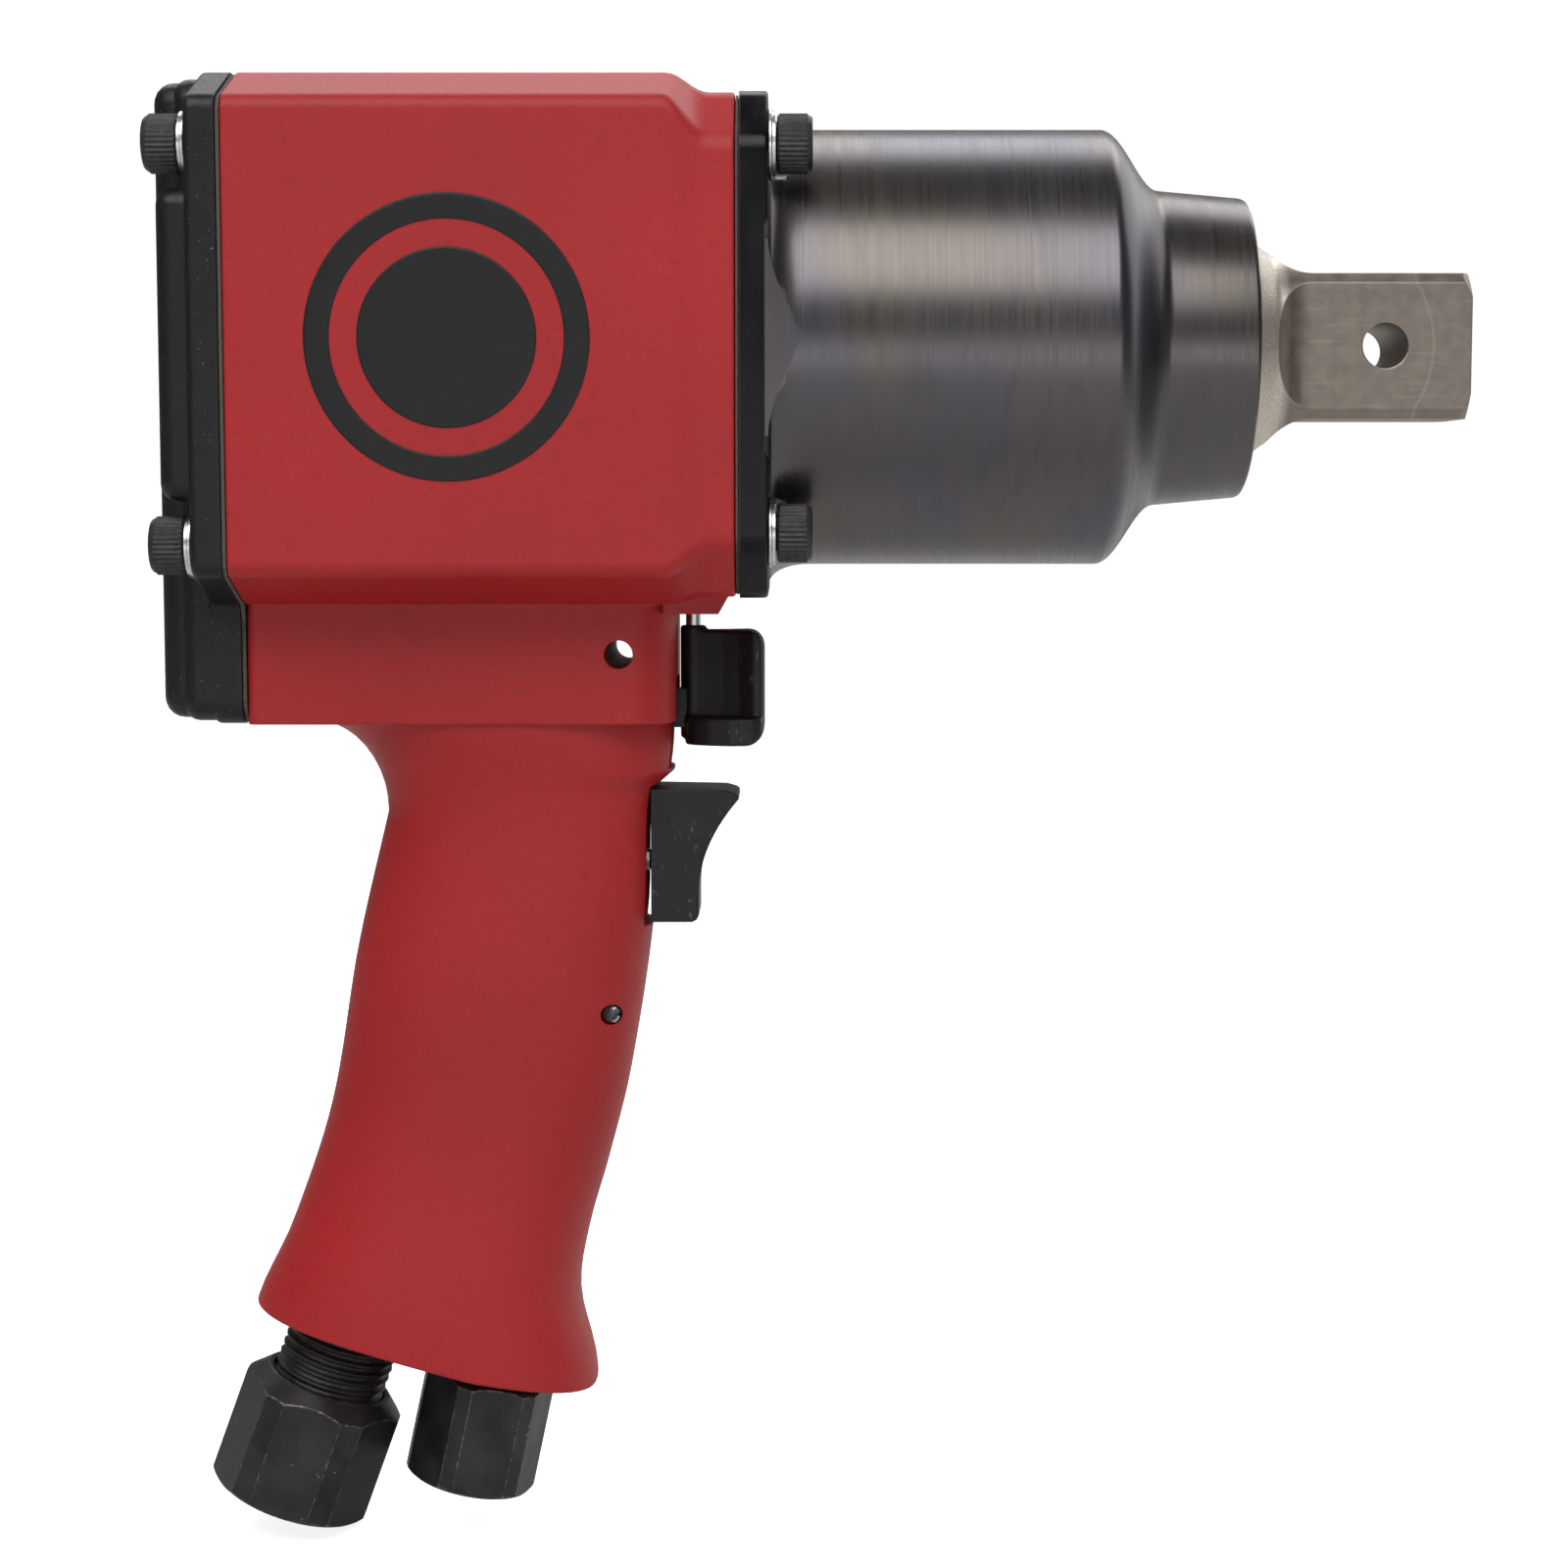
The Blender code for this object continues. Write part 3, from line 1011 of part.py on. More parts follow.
def make_reverse_lever():
    pin, front = LEVER_PIN_X, BLOCK_X - LEVER_FRONT_REACH
    top, bottom = BLOCK_Z + LEVER_TOP_RISE, BLOCK_Z - LEVER_BOTTOM_DROP
    pivot = (pin, 0.0, bottom)
    lever = add("reverse_lever", prism(both_sides(lever_plan(False)), bottom + LEVER_RIM - 0.001, top, "Z"), "nylon")
    tongue_end = REVERSE_X + REVERSE_RADIUS - 0.0008
    tongue = prism([(pin, TONGUE_THICKNESS / 2), (tongue_end + 0.001, TONGUE_THICKNESS / 2), (tongue_end, 0.001),
                    (tongue_end, -0.001), (tongue_end + 0.001, -TONGUE_THICKNESS / 2), (pin, -TONGUE_THICKNESS / 2)],
                   REVERSE_Z - 0.009, REVERSE_Z - 0.002, "Z")
    join(lever, (prism(both_sides(lever_plan(True)), bottom, bottom + LEVER_RIM, "Z"), None),
         (rod(bottom + 0.001, top + 0.0009, LEVER_BOSS_RADIUS, SMALL), at(pin) @ TO_Z), (tongue, None))
    side = rounded([(front, top, 0.003), (front, bottom, 0.0035), (tongue_end - 0.003, bottom, 0.0),
                    (tongue_end - 0.003, top + 0.002, 0.0), (pin + 0.0032, top + 0.002, 0.0), (pin + 0.0036, top, 0.0)])
    keep_within(lever, prism(side, -0.02, 0.02, "Y"))
    cut(lever, (rod(bottom - 0.002, top + 0.004, LEVER_PIN_RADIUS + GAP, TINY), at(pin) @ TO_Z))
    set_origin(lever, pivot)
    socket = LUG_Z + LEVER_PIN_SOCKET - GAP
    add("lever_pin", rod(bottom + 0.001, socket, LEVER_PIN_RADIUS, TINY, 0.0002), "ground_steel", at(pin) @ TO_Z)


def set_origin(item, point):
    """Puts the object's origin at a point, and leaves its mesh where it is."""
    item.data.transform(Matrix.Translation(point).inverted())
    item.location = point


def make_reverse_valve():
    low = REVERSE_Z - REVERSE_HEIGHT
    middle = (REVERSE_X, 0.0, low)
    valve = add("reverse_valve", rod(low, REVERSE_Z, REVERSE_RADIUS, MEDIUM, 0.0004), "bronze", at(REVERSE_X) @ TO_Z, middle)
    half = TONGUE_THICKNESS / 2 + 0.0006
    rim = REVERSE_X + REVERSE_RADIUS
    cut(valve, (box((rim - 0.0024, -half, REVERSE_Z - 0.0096), (rim + 0.002, half, REVERSE_Z - 0.0014)), None),
        (rod(-0.012, 0.012, 0.0018, SMALL), at(REVERSE_X, 0.0, low + 0.003) @ TO_Y))
    ball_y = REVERSE_RADIUS + GAP + DETENT_RADIUS
    ball = bmesh.new()
    bmesh.ops.create_uvsphere(ball, u_segments=TINY, v_segments=8, radius=DETENT_RADIUS)
    add("detent_ball", closed(ball), "ground_steel", at(REVERSE_X, ball_y, detent_z()))
    start = ball_y + DETENT_RADIUS + GAP
    coil = spring(DETENT_RADIUS - 0.0004, 0.0003, 4, DETENT_SPRING, 4, 8)
    add("detent_spring", coil, "ground_steel",
        at(REVERSE_X, start, detent_z()) @ Matrix.Rotation(math.radians(-90), 4, "X"))


# --- Air fittings -------------------------------------------------------------------


def make_exhaust():
    stand = down_from(*exhaust_at(0.0), EXHAUST_TILT)
    coupling = add("exhaust_coupling", prism(bolt_hexagon(EXHAUST_FLATS, EXHAUST_CORNERS), -0.001, EXHAUST_LENGTH + 0.001, "X"),
                   "black_oxide", stand)
    corner = EXHAUST_CORNERS / 2 + 0.0006
    keep_within(coupling, spun([(0.0, 0.0), (0.0, corner - 0.0016), (0.0012, corner), (EXHAUST_LENGTH - EXHAUST_SHOULDER, corner),
                                (EXHAUST_LENGTH, NIPPLE_RADIUS + 0.0012), (EXHAUST_LENGTH, 0.0)], LARGE), stand)
    socket = EXHAUST_LENGTH - NIPPLE_ENGAGEMENT - GAP
    cut(coupling, (rod(socket, EXHAUST_LENGTH + 0.002, NIPPLE_RADIUS + GAP, MEDIUM), stand),
        (rod(-0.002, socket + 0.001, EXHAUST_BORE_RADIUS, MEDIUM), stand))
    add("exhaust_nipple", tube(nipple_top() - NIPPLE_LENGTH, nipple_top(), NIPPLE_BORE_RADIUS, NIPPLE_RADIUS, MEDIUM),
        "black_oxide", stand)


def make_inlet():
    stand = down_from(*inlet_at(0.0), INLET_TILT)
    turned = stand @ Matrix.Rotation(INLET_TURN, 4, "X")
    bushing = add("inlet_bushing", prism(bolt_hexagon(INLET_FLATS, INLET_CORNERS), -0.001, INLET_LENGTH + 0.001, "X"), "black_oxide",
                  turned)
    corner = INLET_CORNERS / 2 + 0.0004
    top = INLET_LENGTH + INLET_NECK + INLET_SPIGOT
    keep_within(bushing, spun([(0.0, 0.0), (0.0, corner - 0.0014), (0.001, corner), (INLET_LENGTH - 0.001, corner),
                               (INLET_LENGTH, corner - 0.0014), (INLET_LENGTH, 0.0)], LARGE), stand)
    join(bushing, (rod(INLET_LENGTH - 0.002, top, INLET_SPIGOT_RADIUS, MEDIUM), stand))
    seat = INLET_LENGTH - 0.002
    cut(bushing, (rod(-0.002, seat, INLET_BORE_RADIUS, MEDIUM), stand),
        (rod(seat - 0.001, top + 0.002, INLET_PASSAGE_RADIUS, MEDIUM), stand))
    screen_x = seat - SEAM - SCREEN_THICKNESS
    screen = add("inlet_screen", rod(screen_x, screen_x + SCREEN_THICKNESS, INLET_BORE_RADIUS - GAP, MEDIUM), "ground_steel", stand)
    holes = [(0.0, 0.0)] + [(0.0042 * math.cos(math.radians(60 * k)), 0.0042 * math.sin(math.radians(60 * k))) for k in range(6)]
    cut(screen, *[(rod(screen_x - 0.001, screen_x + SCREEN_THICKNESS + 0.001, 0.0014, TINY), stand @ at(0.0, y, z))
                  for y, z in holes])


remove_everything()
MATERIALS = {name: make_material(name, *values) for name, values in FINISHES.items()}
make_motor_housing()
make_rear_cover()
make_gasket("rear_gasket", back_outline(0.0004), BACK_X - SEAM, REAR_GASKET, False)
make_gasket("front_gasket", collar_outline(0.0004), FLANGE_X - SEAM, FRONT_GASKET, True)
make_hammer_case()
make_fasteners()
make_anvil()
make_nose_pieces()
make_hammer()
make_motor()
make_throttle()
make_reverse_lever()
make_reverse_valve()
make_exhaust()
make_inlet()
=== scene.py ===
# %% [markdown]
# # A pistol-grip air impact wrench
#
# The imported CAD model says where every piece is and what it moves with. This lesson
# builds the pieces that show on top of it, in the same place and at the same size, and
# gives each one the finish of the real thing. It starts by loading that model.

import json
import math

import bmesh
import bpy
from mathutils import Matrix, Vector


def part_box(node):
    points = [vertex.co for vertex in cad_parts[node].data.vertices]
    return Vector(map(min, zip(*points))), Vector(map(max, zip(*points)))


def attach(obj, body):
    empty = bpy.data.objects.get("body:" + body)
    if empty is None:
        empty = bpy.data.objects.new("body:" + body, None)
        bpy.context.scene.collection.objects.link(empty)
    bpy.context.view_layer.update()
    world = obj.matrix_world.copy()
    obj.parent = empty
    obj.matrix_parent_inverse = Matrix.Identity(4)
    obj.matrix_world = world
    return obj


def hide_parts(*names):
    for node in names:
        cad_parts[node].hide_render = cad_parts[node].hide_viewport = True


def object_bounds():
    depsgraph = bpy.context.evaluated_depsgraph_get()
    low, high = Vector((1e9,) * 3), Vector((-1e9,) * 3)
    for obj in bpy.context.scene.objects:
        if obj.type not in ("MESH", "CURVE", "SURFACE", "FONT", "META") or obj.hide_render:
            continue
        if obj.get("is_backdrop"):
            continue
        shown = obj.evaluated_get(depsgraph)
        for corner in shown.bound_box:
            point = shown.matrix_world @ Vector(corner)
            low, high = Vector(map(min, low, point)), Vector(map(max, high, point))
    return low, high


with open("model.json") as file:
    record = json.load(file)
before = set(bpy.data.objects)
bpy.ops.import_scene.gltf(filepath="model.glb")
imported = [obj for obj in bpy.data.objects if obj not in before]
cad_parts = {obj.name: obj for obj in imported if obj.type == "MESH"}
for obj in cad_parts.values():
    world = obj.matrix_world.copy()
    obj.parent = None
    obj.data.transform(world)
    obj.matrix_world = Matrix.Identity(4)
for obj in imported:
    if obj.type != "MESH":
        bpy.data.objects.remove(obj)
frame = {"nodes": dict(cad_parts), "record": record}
cad_low, cad_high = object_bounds()

# %% [markdown]
# ## Camera
#
# The tool is seen square on from its side, from a little above its middle. A lens of
# about 70 mm from half a metre away keeps its lines nearly parallel, as in a catalogue.

# %% Camera
camera = bpy.data.objects.new("camera", bpy.data.cameras.new("camera"))
bpy.context.scene.collection.objects.link(camera)
camera.location = (-0.12042, -0.542355, -0.027779)
camera.rotation_euler = (math.radians(84.681), 0.0, 0.0)
camera.data.sensor_width = 36.0
camera.data.lens = 68.84
camera.data.clip_start = 0.01
bpy.context.scene.camera = camera
bpy.context.scene.view_settings.view_transform = "Standard"
print("camera", round(camera.data.lens, 1), "mm")

# %% [markdown]
# ## Colours
#
# Colours are picked as the hex values that a paint chart or a screen gives. Blender
# counts light, not screen values, so one function turns them into linear numbers.


# %% Hex colours to linear light
def colour(hex_value):
    """The linear RGBA of a screen colour such as '#A5292E'."""
    screen = [int(hex_value[i : i + 2], 16) / 255 for i in (1, 3, 5)]
    return (*[c / 12.92 if c <= 0.04045 else ((c + 0.055) / 1.055) ** 2.4 for c in screen], 1.0)


# %% [markdown]
# ## Studio
#
# Metal shows what stands round it, so the light is made of a few large soft panels on
# a dim room: one high in front, one low in front, one high behind, and one at the back
# on the drive's side. The gaps between them draw the long dark bands on round steel. The
# floor is plain and pale, and sweeps up behind the tool like a paper roll, so it has no
# horizon.

# %% Floor and lights
floor_z = cad_low.z - 0.0008
bpy.ops.object.select_all(action="DESELECT")
bpy.ops.mesh.primitive_plane_add(size=5.0, location=(-0.12, 0.3, floor_z))
floor = bpy.context.active_object
floor.name = "floor"
bpy.ops.object.mode_set(mode="EDIT")
bpy.ops.mesh.select_mode(type="EDGE")
rim = bmesh.from_edit_mesh(floor.data)
for edge in rim.edges:
    edge.select_set(all(corner.co.y > 2.4 for corner in edge.verts))
bmesh.update_edit_mesh(floor.data)
bpy.ops.mesh.extrude_region_move(TRANSFORM_OT_translate={"value": (0.0, 0.0, 4.0)})
bpy.ops.mesh.select_mode(type="EDGE")
rim = bmesh.from_edit_mesh(floor.data)
for edge in rim.edges:
    edge.select_set(all(corner.co.y > 2.4 and corner.co.z < 0.01 for corner in edge.verts))
bmesh.update_edit_mesh(floor.data)
bpy.ops.mesh.bevel(offset=1.5, segments=16, affect="EDGES")
bpy.ops.object.mode_set(mode="OBJECT")
bpy.ops.object.shade_smooth()
floor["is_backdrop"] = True


def panel(name, place, target, width, height, watts, tint="#FFFFFF"):
    """A soft rectangular light at a place, facing a target."""
    lamp = bpy.data.objects.new(name, bpy.data.lights.new(name, "AREA"))
    bpy.context.scene.collection.objects.link(lamp)
    lamp.data.shape = "RECTANGLE"
    lamp.data.size, lamp.data.size_y = width, height
    lamp.data.energy = watts
    lamp.data.color = colour(tint)[:3]
    lamp.location = place
    lamp.rotation_euler = (Vector(target) - Vector(place)).to_track_quat("-Z", "Y").to_euler()
    return lamp


middle = (cad_low + cad_high) / 2
panel("key_panel", (-0.3, -0.85, 0.9), middle, 1.5, 0.85, 15.0)
panel("low_panel", (0.05, -1.2, -0.12), middle, 1.6, 0.28, 2.6)
panel("top_panel", (-0.12, 0.75, 1.0), middle, 1.6, 0.6, 9.0)
panel("back_panel", (0.6, 0.5, 0.3), middle, 0.9, 0.9, 3.5)
print("floor at", round(floor_z, 4), "m")

# %% [markdown]
# The room itself is a dim even grey, and the floor is white paper. Only the camera sees
# both as bright white, so the page behind the tool stays clean while the metal and the
# black paint still have something dark to mirror.

# %% Room light
world = bpy.data.worlds.new("studio")
bpy.context.scene.world = world
world.use_nodes = True


def add_node(tree, kind, inputs=None, **settings):
    """One shader node with its settings; an input is a value, or the output that feeds it."""
    made = tree.nodes.new("ShaderNode" + kind)
    for name, value in settings.items():
        setattr(made, name, value)
    for name, value in (inputs or {}).items():
        if isinstance(value, bpy.types.NodeSocket):
            tree.links.new(value, made.inputs[name])
        else:
            made.inputs[name].default_value = value
    return made


world.node_tree.nodes.clear()
room = add_node(world.node_tree, "Background", {"Color": colour("#FFFFFF"), "Strength": 0.14})
page = add_node(world.node_tree, "Background", {"Color": colour("#FFFFFF"), "Strength": 1.0})
seen = add_node(world.node_tree, "LightPath")
sky = add_node(world.node_tree, "MixShader",
               {0: seen.outputs["Is Camera Ray"], 1: room.outputs[0], 2: page.outputs[0]})
add_node(world.node_tree, "OutputWorld", {"Surface": sky.outputs[0]})

paper = bpy.data.materials.new("paper_roll")
paper.use_nodes = True
matt = paper.node_tree.nodes["Principled BSDF"]
matt.inputs["Base Color"].default_value = colour("#DEDEDC")
matt.inputs["Roughness"].default_value = 0.9
matt.inputs["Emission Color"].default_value = colour("#FFFFFF")
glow = add_node(paper.node_tree, "Math",
                {0: add_node(paper.node_tree, "LightPath").outputs["Is Camera Ray"], 1: 0.86},
                operation="MULTIPLY")
paper.node_tree.links.new(glow.outputs[0], matt.inputs["Emission Strength"])
floor.data.materials.append(paper)
print("room ready")

# %% [markdown]
# ## Drawing by extrusion
#
# Most pieces start as an outline: one corner is added, and extruded from place to place
# until the outline is drawn, as with the E key. A turned piece is then spun round its
# axis like work on a lathe. A flat one is filled and extruded. A shape that changes
# along its length is extruded again and again, each time onto its next section.

# %% Outlines, lathe and sections
MM = 0.001


def only(piece):
    """Makes the piece the one that operators act on."""
    bpy.ops.object.select_all(action="DESELECT")
    piece.select_set(True)
    bpy.context.view_layer.objects.active = piece


def drawn(name, points):
    """A piece of edges, extruded from point to point, left in edit mode."""
    bpy.ops.object.select_all(action="DESELECT")
    bpy.ops.mesh.primitive_plane_add(size=MM)
    piece = bpy.context.active_object
    piece.name = piece.data.name = name
    bpy.ops.object.mode_set(mode="EDIT")
    bpy.ops.mesh.select_mode(type="VERT")
    bpy.ops.mesh.merge(type="CENTER")
    place = Vector((0.0, 0.0, 0.0))
    bpy.ops.transform.translate(value=Vector(points[0]) - place)
    for before, after in zip(points, points[1:]):
        step = Vector(after) - Vector(before)
        bpy.ops.mesh.extrude_vertices_move(TRANSFORM_OT_translate={"value": step})
    return piece


def tidied(piece):
    """Merges doubled corners, turns every face outwards and leaves edit mode."""
    bpy.ops.mesh.select_all(action="SELECT")
    bpy.ops.mesh.remove_doubles(threshold=0.000001)
    bpy.ops.mesh.normals_make_consistent(inside=False)
    bpy.ops.object.mode_set(mode="OBJECT")
    return piece


def turned(name, profile, steps=96):
    """A piece turned round X from (x, radius) in mm; it is closed by starting and ending on the axis."""
    piece = drawn(name, [(x * MM, 0.0, radius * MM) for x, radius in profile])
    bpy.ops.mesh.select_all(action="SELECT")
    bpy.ops.mesh.spin(steps=steps, angle=2 * math.pi, center=(0, 0, 0), axis=(1, 0, 0))
    return tidied(piece)


def lofted(name, rings):
    """A skin over rings of equally many corners in mm: drawn, filled, then extruded onto each."""
    piece = drawn(name, [Vector(corner) * MM for corner in rings[0]])
    shape = bmesh.from_edit_mesh(piece.data)
    order = shape.verts.layers.int.new("order")
    for corner in shape.verts:
        gaps = [(corner.co / MM - Vector(place)).length for place in rings[0]]
        corner[order] = gaps.index(min(gaps))
    bmesh.update_edit_mesh(piece.data)
    bpy.ops.mesh.select_all(action="SELECT")
    bpy.ops.mesh.edge_face_add()
    for ring in rings[1:]:
        bpy.ops.mesh.extrude_region_move()
        shape = bmesh.from_edit_mesh(piece.data)
        order = shape.verts.layers.int["order"]
        for corner in shape.verts:
            if corner.select:
                corner.co = Vector(ring[corner[order]]) * MM
        bmesh.update_edit_mesh(piece.data)
    return tidied(piece)


def eased(corners, steps=6):
    """The outline through (a, b, radius) corners, each rounded by its radius."""
    outline = []
    for number, (a, b, radius) in enumerate(corners):
        corner = Vector((a, b))
        before = (Vector(corners[number - 1][:2]) - corner).normalized()
        after = (Vector(corners[(number + 1) % len(corners)][:2]) - corner).normalized()
        if not radius:
            outline.append((a, b))
            continue
        half = before.angle(after) / 2
        centre = corner + (before + after).normalized() * radius / math.sin(half)
        first, last = (corner + way * radius / math.tan(half) - centre for way in (before, after))
        outline += [tuple(centre + first.lerp(last, k / steps).normalized() * radius) for k in range(steps + 1)]
    return outline


def both_sides(half):
    """The whole outline from its right half, listed from one end to the other."""
    return half + [(-a, *rest) for a, *rest in reversed(half)]


def across_x(outline, x):
    return [(x, a, b) for a, b in outline]


def across_y(outline, y):
    return [(a, y, b) for a, b in outline]


def across_z(outline, z):
    return [(a, b, z) for a, b in outline]


print("ready to draw")

# %% [markdown]
# ## Cutting and joining
#
# Holes, pockets and joined bosses are made with the Boolean modifier, all the tools of
# one kind in one go, because one clean cut is safer than a chain of them. Bars for the
# holes are cylinders laid from point to point.


# %% Bars, cuts and finished pieces
def bar(start, end, radius, corners=32):
    """A round bar between two points in mm."""
    start, end = Vector(start) * MM, Vector(end) * MM
    bpy.ops.object.select_all(action="DESELECT")
    bpy.ops.mesh.primitive_cylinder_add(
        vertices=corners, radius=radius * MM, depth=(end - start).length,
        location=(start + end) / 2, rotation=(end - start).to_track_quat("Z", "Y").to_euler())
    made = bpy.context.active_object
    bpy.ops.object.transform_apply()
    return made


def block_of(low, high):
    """A rectangular cutter between two corners in mm."""
    low, high = Vector(low) * MM, Vector(high) * MM
    bpy.ops.object.select_all(action="DESELECT")
    bpy.ops.mesh.primitive_cube_add(size=1.0, location=(low + high) / 2, scale=high - low)
    made = bpy.context.active_object
    bpy.ops.object.transform_apply()
    return made


def use_tools(piece, operation, tools):
    """Applies one Boolean with all the tools, and removes them."""
    holder = bpy.data.collections.new("tools")
    bpy.context.scene.collection.children.link(holder)
    for tool in tools:
        for home in list(tool.users_collection):
            home.objects.unlink(tool)
        holder.objects.link(tool)
    cut = piece.modifiers.new("cut", "BOOLEAN")
    cut.operand_type = "COLLECTION"
    cut.collection = holder
    cut.operation = operation
    cut.solver = "EXACT"
    only(piece)
    bpy.ops.object.modifier_apply(modifier=cut.name)
    for tool in tools:
        bpy.data.objects.remove(tool, do_unlink=True)
    bpy.data.collections.remove(holder)
    bpy.ops.object.mode_set(mode="EDIT")
    bpy.ops.mesh.select_all(action="SELECT")
    bpy.ops.mesh.remove_doubles(threshold=0.000002)
    bpy.ops.object.mode_set(mode="OBJECT")
    return piece


def round_edges(piece, width, segments, test):
    """Bevels the edges that the test picks by (middle in mm, angle in degrees, direction)."""
    only(piece)
    bpy.ops.object.mode_set(mode="EDIT")
    bpy.ops.mesh.select_all(action="DESELECT")
    bpy.ops.mesh.select_mode(type="EDGE")
    shape = bmesh.from_edit_mesh(piece.data)
    for edge in shape.edges:
        a, b = (corner.co for corner in edge.verts)
        angle = math.degrees(edge.calc_face_angle(0.0))
        edge.select_set(bool(test((a + b) / 2 / MM, angle, (b - a).normalized())))
    bmesh.update_edit_mesh(piece.data)
    bpy.ops.mesh.bevel(offset=width * MM, segments=segments, affect="EDGES", clamp_overlap=True)
    return tidied(piece)


def moved(piece, matrix):
    """Moves the piece's mesh, so that the object itself stays at the origin."""
    piece.data.transform(matrix)
    return piece


finishes = {}


def finished(piece, body, nodes, finish, smooth=35.0):
    """Shades the piece, gives it its finish, and sets it on its body in place of its nodes."""
    only(piece)
    bpy.ops.object.shade_smooth_by_angle(angle=math.radians(smooth))
    even = piece.modifiers.new("even shading", "WEIGHTED_NORMAL")
    even.keep_sharp = True
    bpy.ops.object.modifier_apply(modifier=even.name)
    piece.data.materials.clear()
    piece.data.materials.append(finishes[finish])
    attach(piece, body)
    if nodes:
        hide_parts(*nodes)
    piece.data.calc_loop_triangles()
    print(piece.name, len(piece.data.loop_triangles), "triangles")
    return piece


def box_mm(node):
    """A node's lowest and highest corner in mm."""
    low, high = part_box(node)
    return low / MM, high / MM


CORNERS = ("top_left", "top_right", "bottom_left", "bottom_right")


def screw_axis(side, corner):
    """Where the screw of a corner stands, as (y, z) in mm."""
    low, high = box_mm(f"{side}_washer_{corner}")
    return (low.y + high.y) / 2, (low.z + high.z) / 2


print("ready to cut and join")

# %% [markdown]
# ## How a finish starts
#
# Every finish reads Object coordinates, which are real metres on the piece, so a grain
# of one millimetre is one millimetre on every piece. A small round-over in the shading
# softens edges that are too fine to model, and the same round-over shows where an edge
# is: there the two normals part. The paints and the nylon use it for a painted highlight,
# a paler tone along every edge; the metals use it for the wear where their film rubs through.


# %% A new finish, edges and bumps
def new_finish(name, metallic=0.0, roughness=0.5, specular=0.5):
    """An empty finish: its node tree, its shader and the piece's own coordinates."""
    made = bpy.data.materials.new(name)
    made.use_nodes = True
    tree = made.node_tree
    shader = tree.nodes["Principled BSDF"]
    shader.inputs["Metallic"].default_value = metallic
    shader.inputs["Roughness"].default_value = roughness
    shader.inputs["Specular IOR Level"].default_value = specular
    place = add_node(tree, "TexCoord").outputs["Object"]
    finishes[name] = made
    return tree, shader, place


def grain(tree, place, size_mm, stretch=(1.0, 1.0, 1.0), detail=3.0):
    """Noise whose spots are about size_mm wide, stretched along an axis by a factor below one."""
    scale = [s / (size_mm * MM) for s in stretch]
    scaled = add_node(tree, "Mapping", {"Vector": place, "Scale": scale}).outputs[0]
    return add_node(tree, "TexNoise", {"Vector": scaled, "Scale": 1.0, "Detail": detail}).outputs["Fac"]


def spread(tree, value, low, high, to_low=0.0, to_high=1.0):
    """Maps a value from one span onto another."""
    return add_node(tree, "MapRange", {"Value": value, "From Min": low, "From Max": high,
                                       "To Min": to_low, "To Max": to_high}).outputs[0]


def blended(tree, share, first, second):
    """A mix of two colours, each a hex value or another colour."""
    first, second = (colour(c) if isinstance(c, str) else c for c in (first, second))
    return add_node(tree, "MixRGB", {"Fac": share, "Color1": first, "Color2": second}).outputs[0]


def product(tree, first, second):
    """Two values multiplied."""
    return add_node(tree, "Math", {0: first, 1: second}, operation="MULTIPLY").outputs[0]


def coated(tree, shader, tone, pattern, low, high):
    """Gives the shader its colour, and a roughness between low and high by a pattern."""
    tree.links.new(tone, shader.inputs["Base Color"])
    tree.links.new(spread(tree, pattern, 0.3, 0.7, low, high), shader.inputs["Roughness"])


def edges_of(tree, radius_mm):
    """The softened normal, and how near an edge the point is, from 0 to 1."""
    soft = add_node(tree, "Bevel", {"Radius": radius_mm * MM}, samples=8).outputs[0]
    true = add_node(tree, "NewGeometry").outputs["Normal"]
    alike = add_node(tree, "VectorMath", {0: soft, 1: true}, operation="DOT_PRODUCT").outputs["Value"]
    return soft, spread(tree, alike, 0.99, 0.86)


def bumped(tree, shader, height, depth_mm, strength, normal=None):
    """Raises the surface by a height pattern."""
    inputs = {"Height": height, "Distance": depth_mm * MM, "Strength": strength}
    if normal is not None:
        inputs["Normal"] = normal
    bump = add_node(tree, "Bump", inputs)
    tree.links.new(bump.outputs[0], shader.inputs["Normal"])


print("ready to paint")

# %% [markdown]
# ## Red wrinkle paint
#
# The housing is cast aluminium with a baked red wrinkle paint. It gives a satin red
# with a fine leather grain, about a millimetre from ridge to ridge. The grain is a
# noise at that size with a finer one on top, and its low parts are painted darker, a
# painted shade in the valleys. A slow, weak shift in colour keeps the large faces from
# looking dipped, and every edge is painted a paler red, a painted highlight.

# %% Paint the housing's finish
tree, shader, place = new_finish("red_wrinkle_paint", roughness=0.5, specular=0.4)
wrinkle = grain(tree, place, 1.1)
pores = grain(tree, place, 0.35, detail=2.0)
cloud = grain(tree, place, 60.0, detail=1.0)
red = blended(tree, spread(tree, cloud, 0.35, 0.65), "#9C171C", "#A91C21")
# painted shade: the low parts of the wrinkle grain are darkened
red = blended(tree, spread(tree, wrinkle, 0.30, 0.42, 0.35, 0.0), red, "#7E1014")
soft, edge = edges_of(tree, 0.8)
# painted highlight: every edge, hollow or proud, is painted a paler red
red = blended(tree, product(tree, edge, 0.25), red, "#BF3A3D")
coated(tree, shader, red, pores, 0.44, 0.56)
relief = add_node(tree, "Math", {0: wrinkle, 1: product(tree, pores, 0.35)}, operation="ADD").outputs[0]
bumped(tree, shader, relief, 0.12, 0.45, soft)
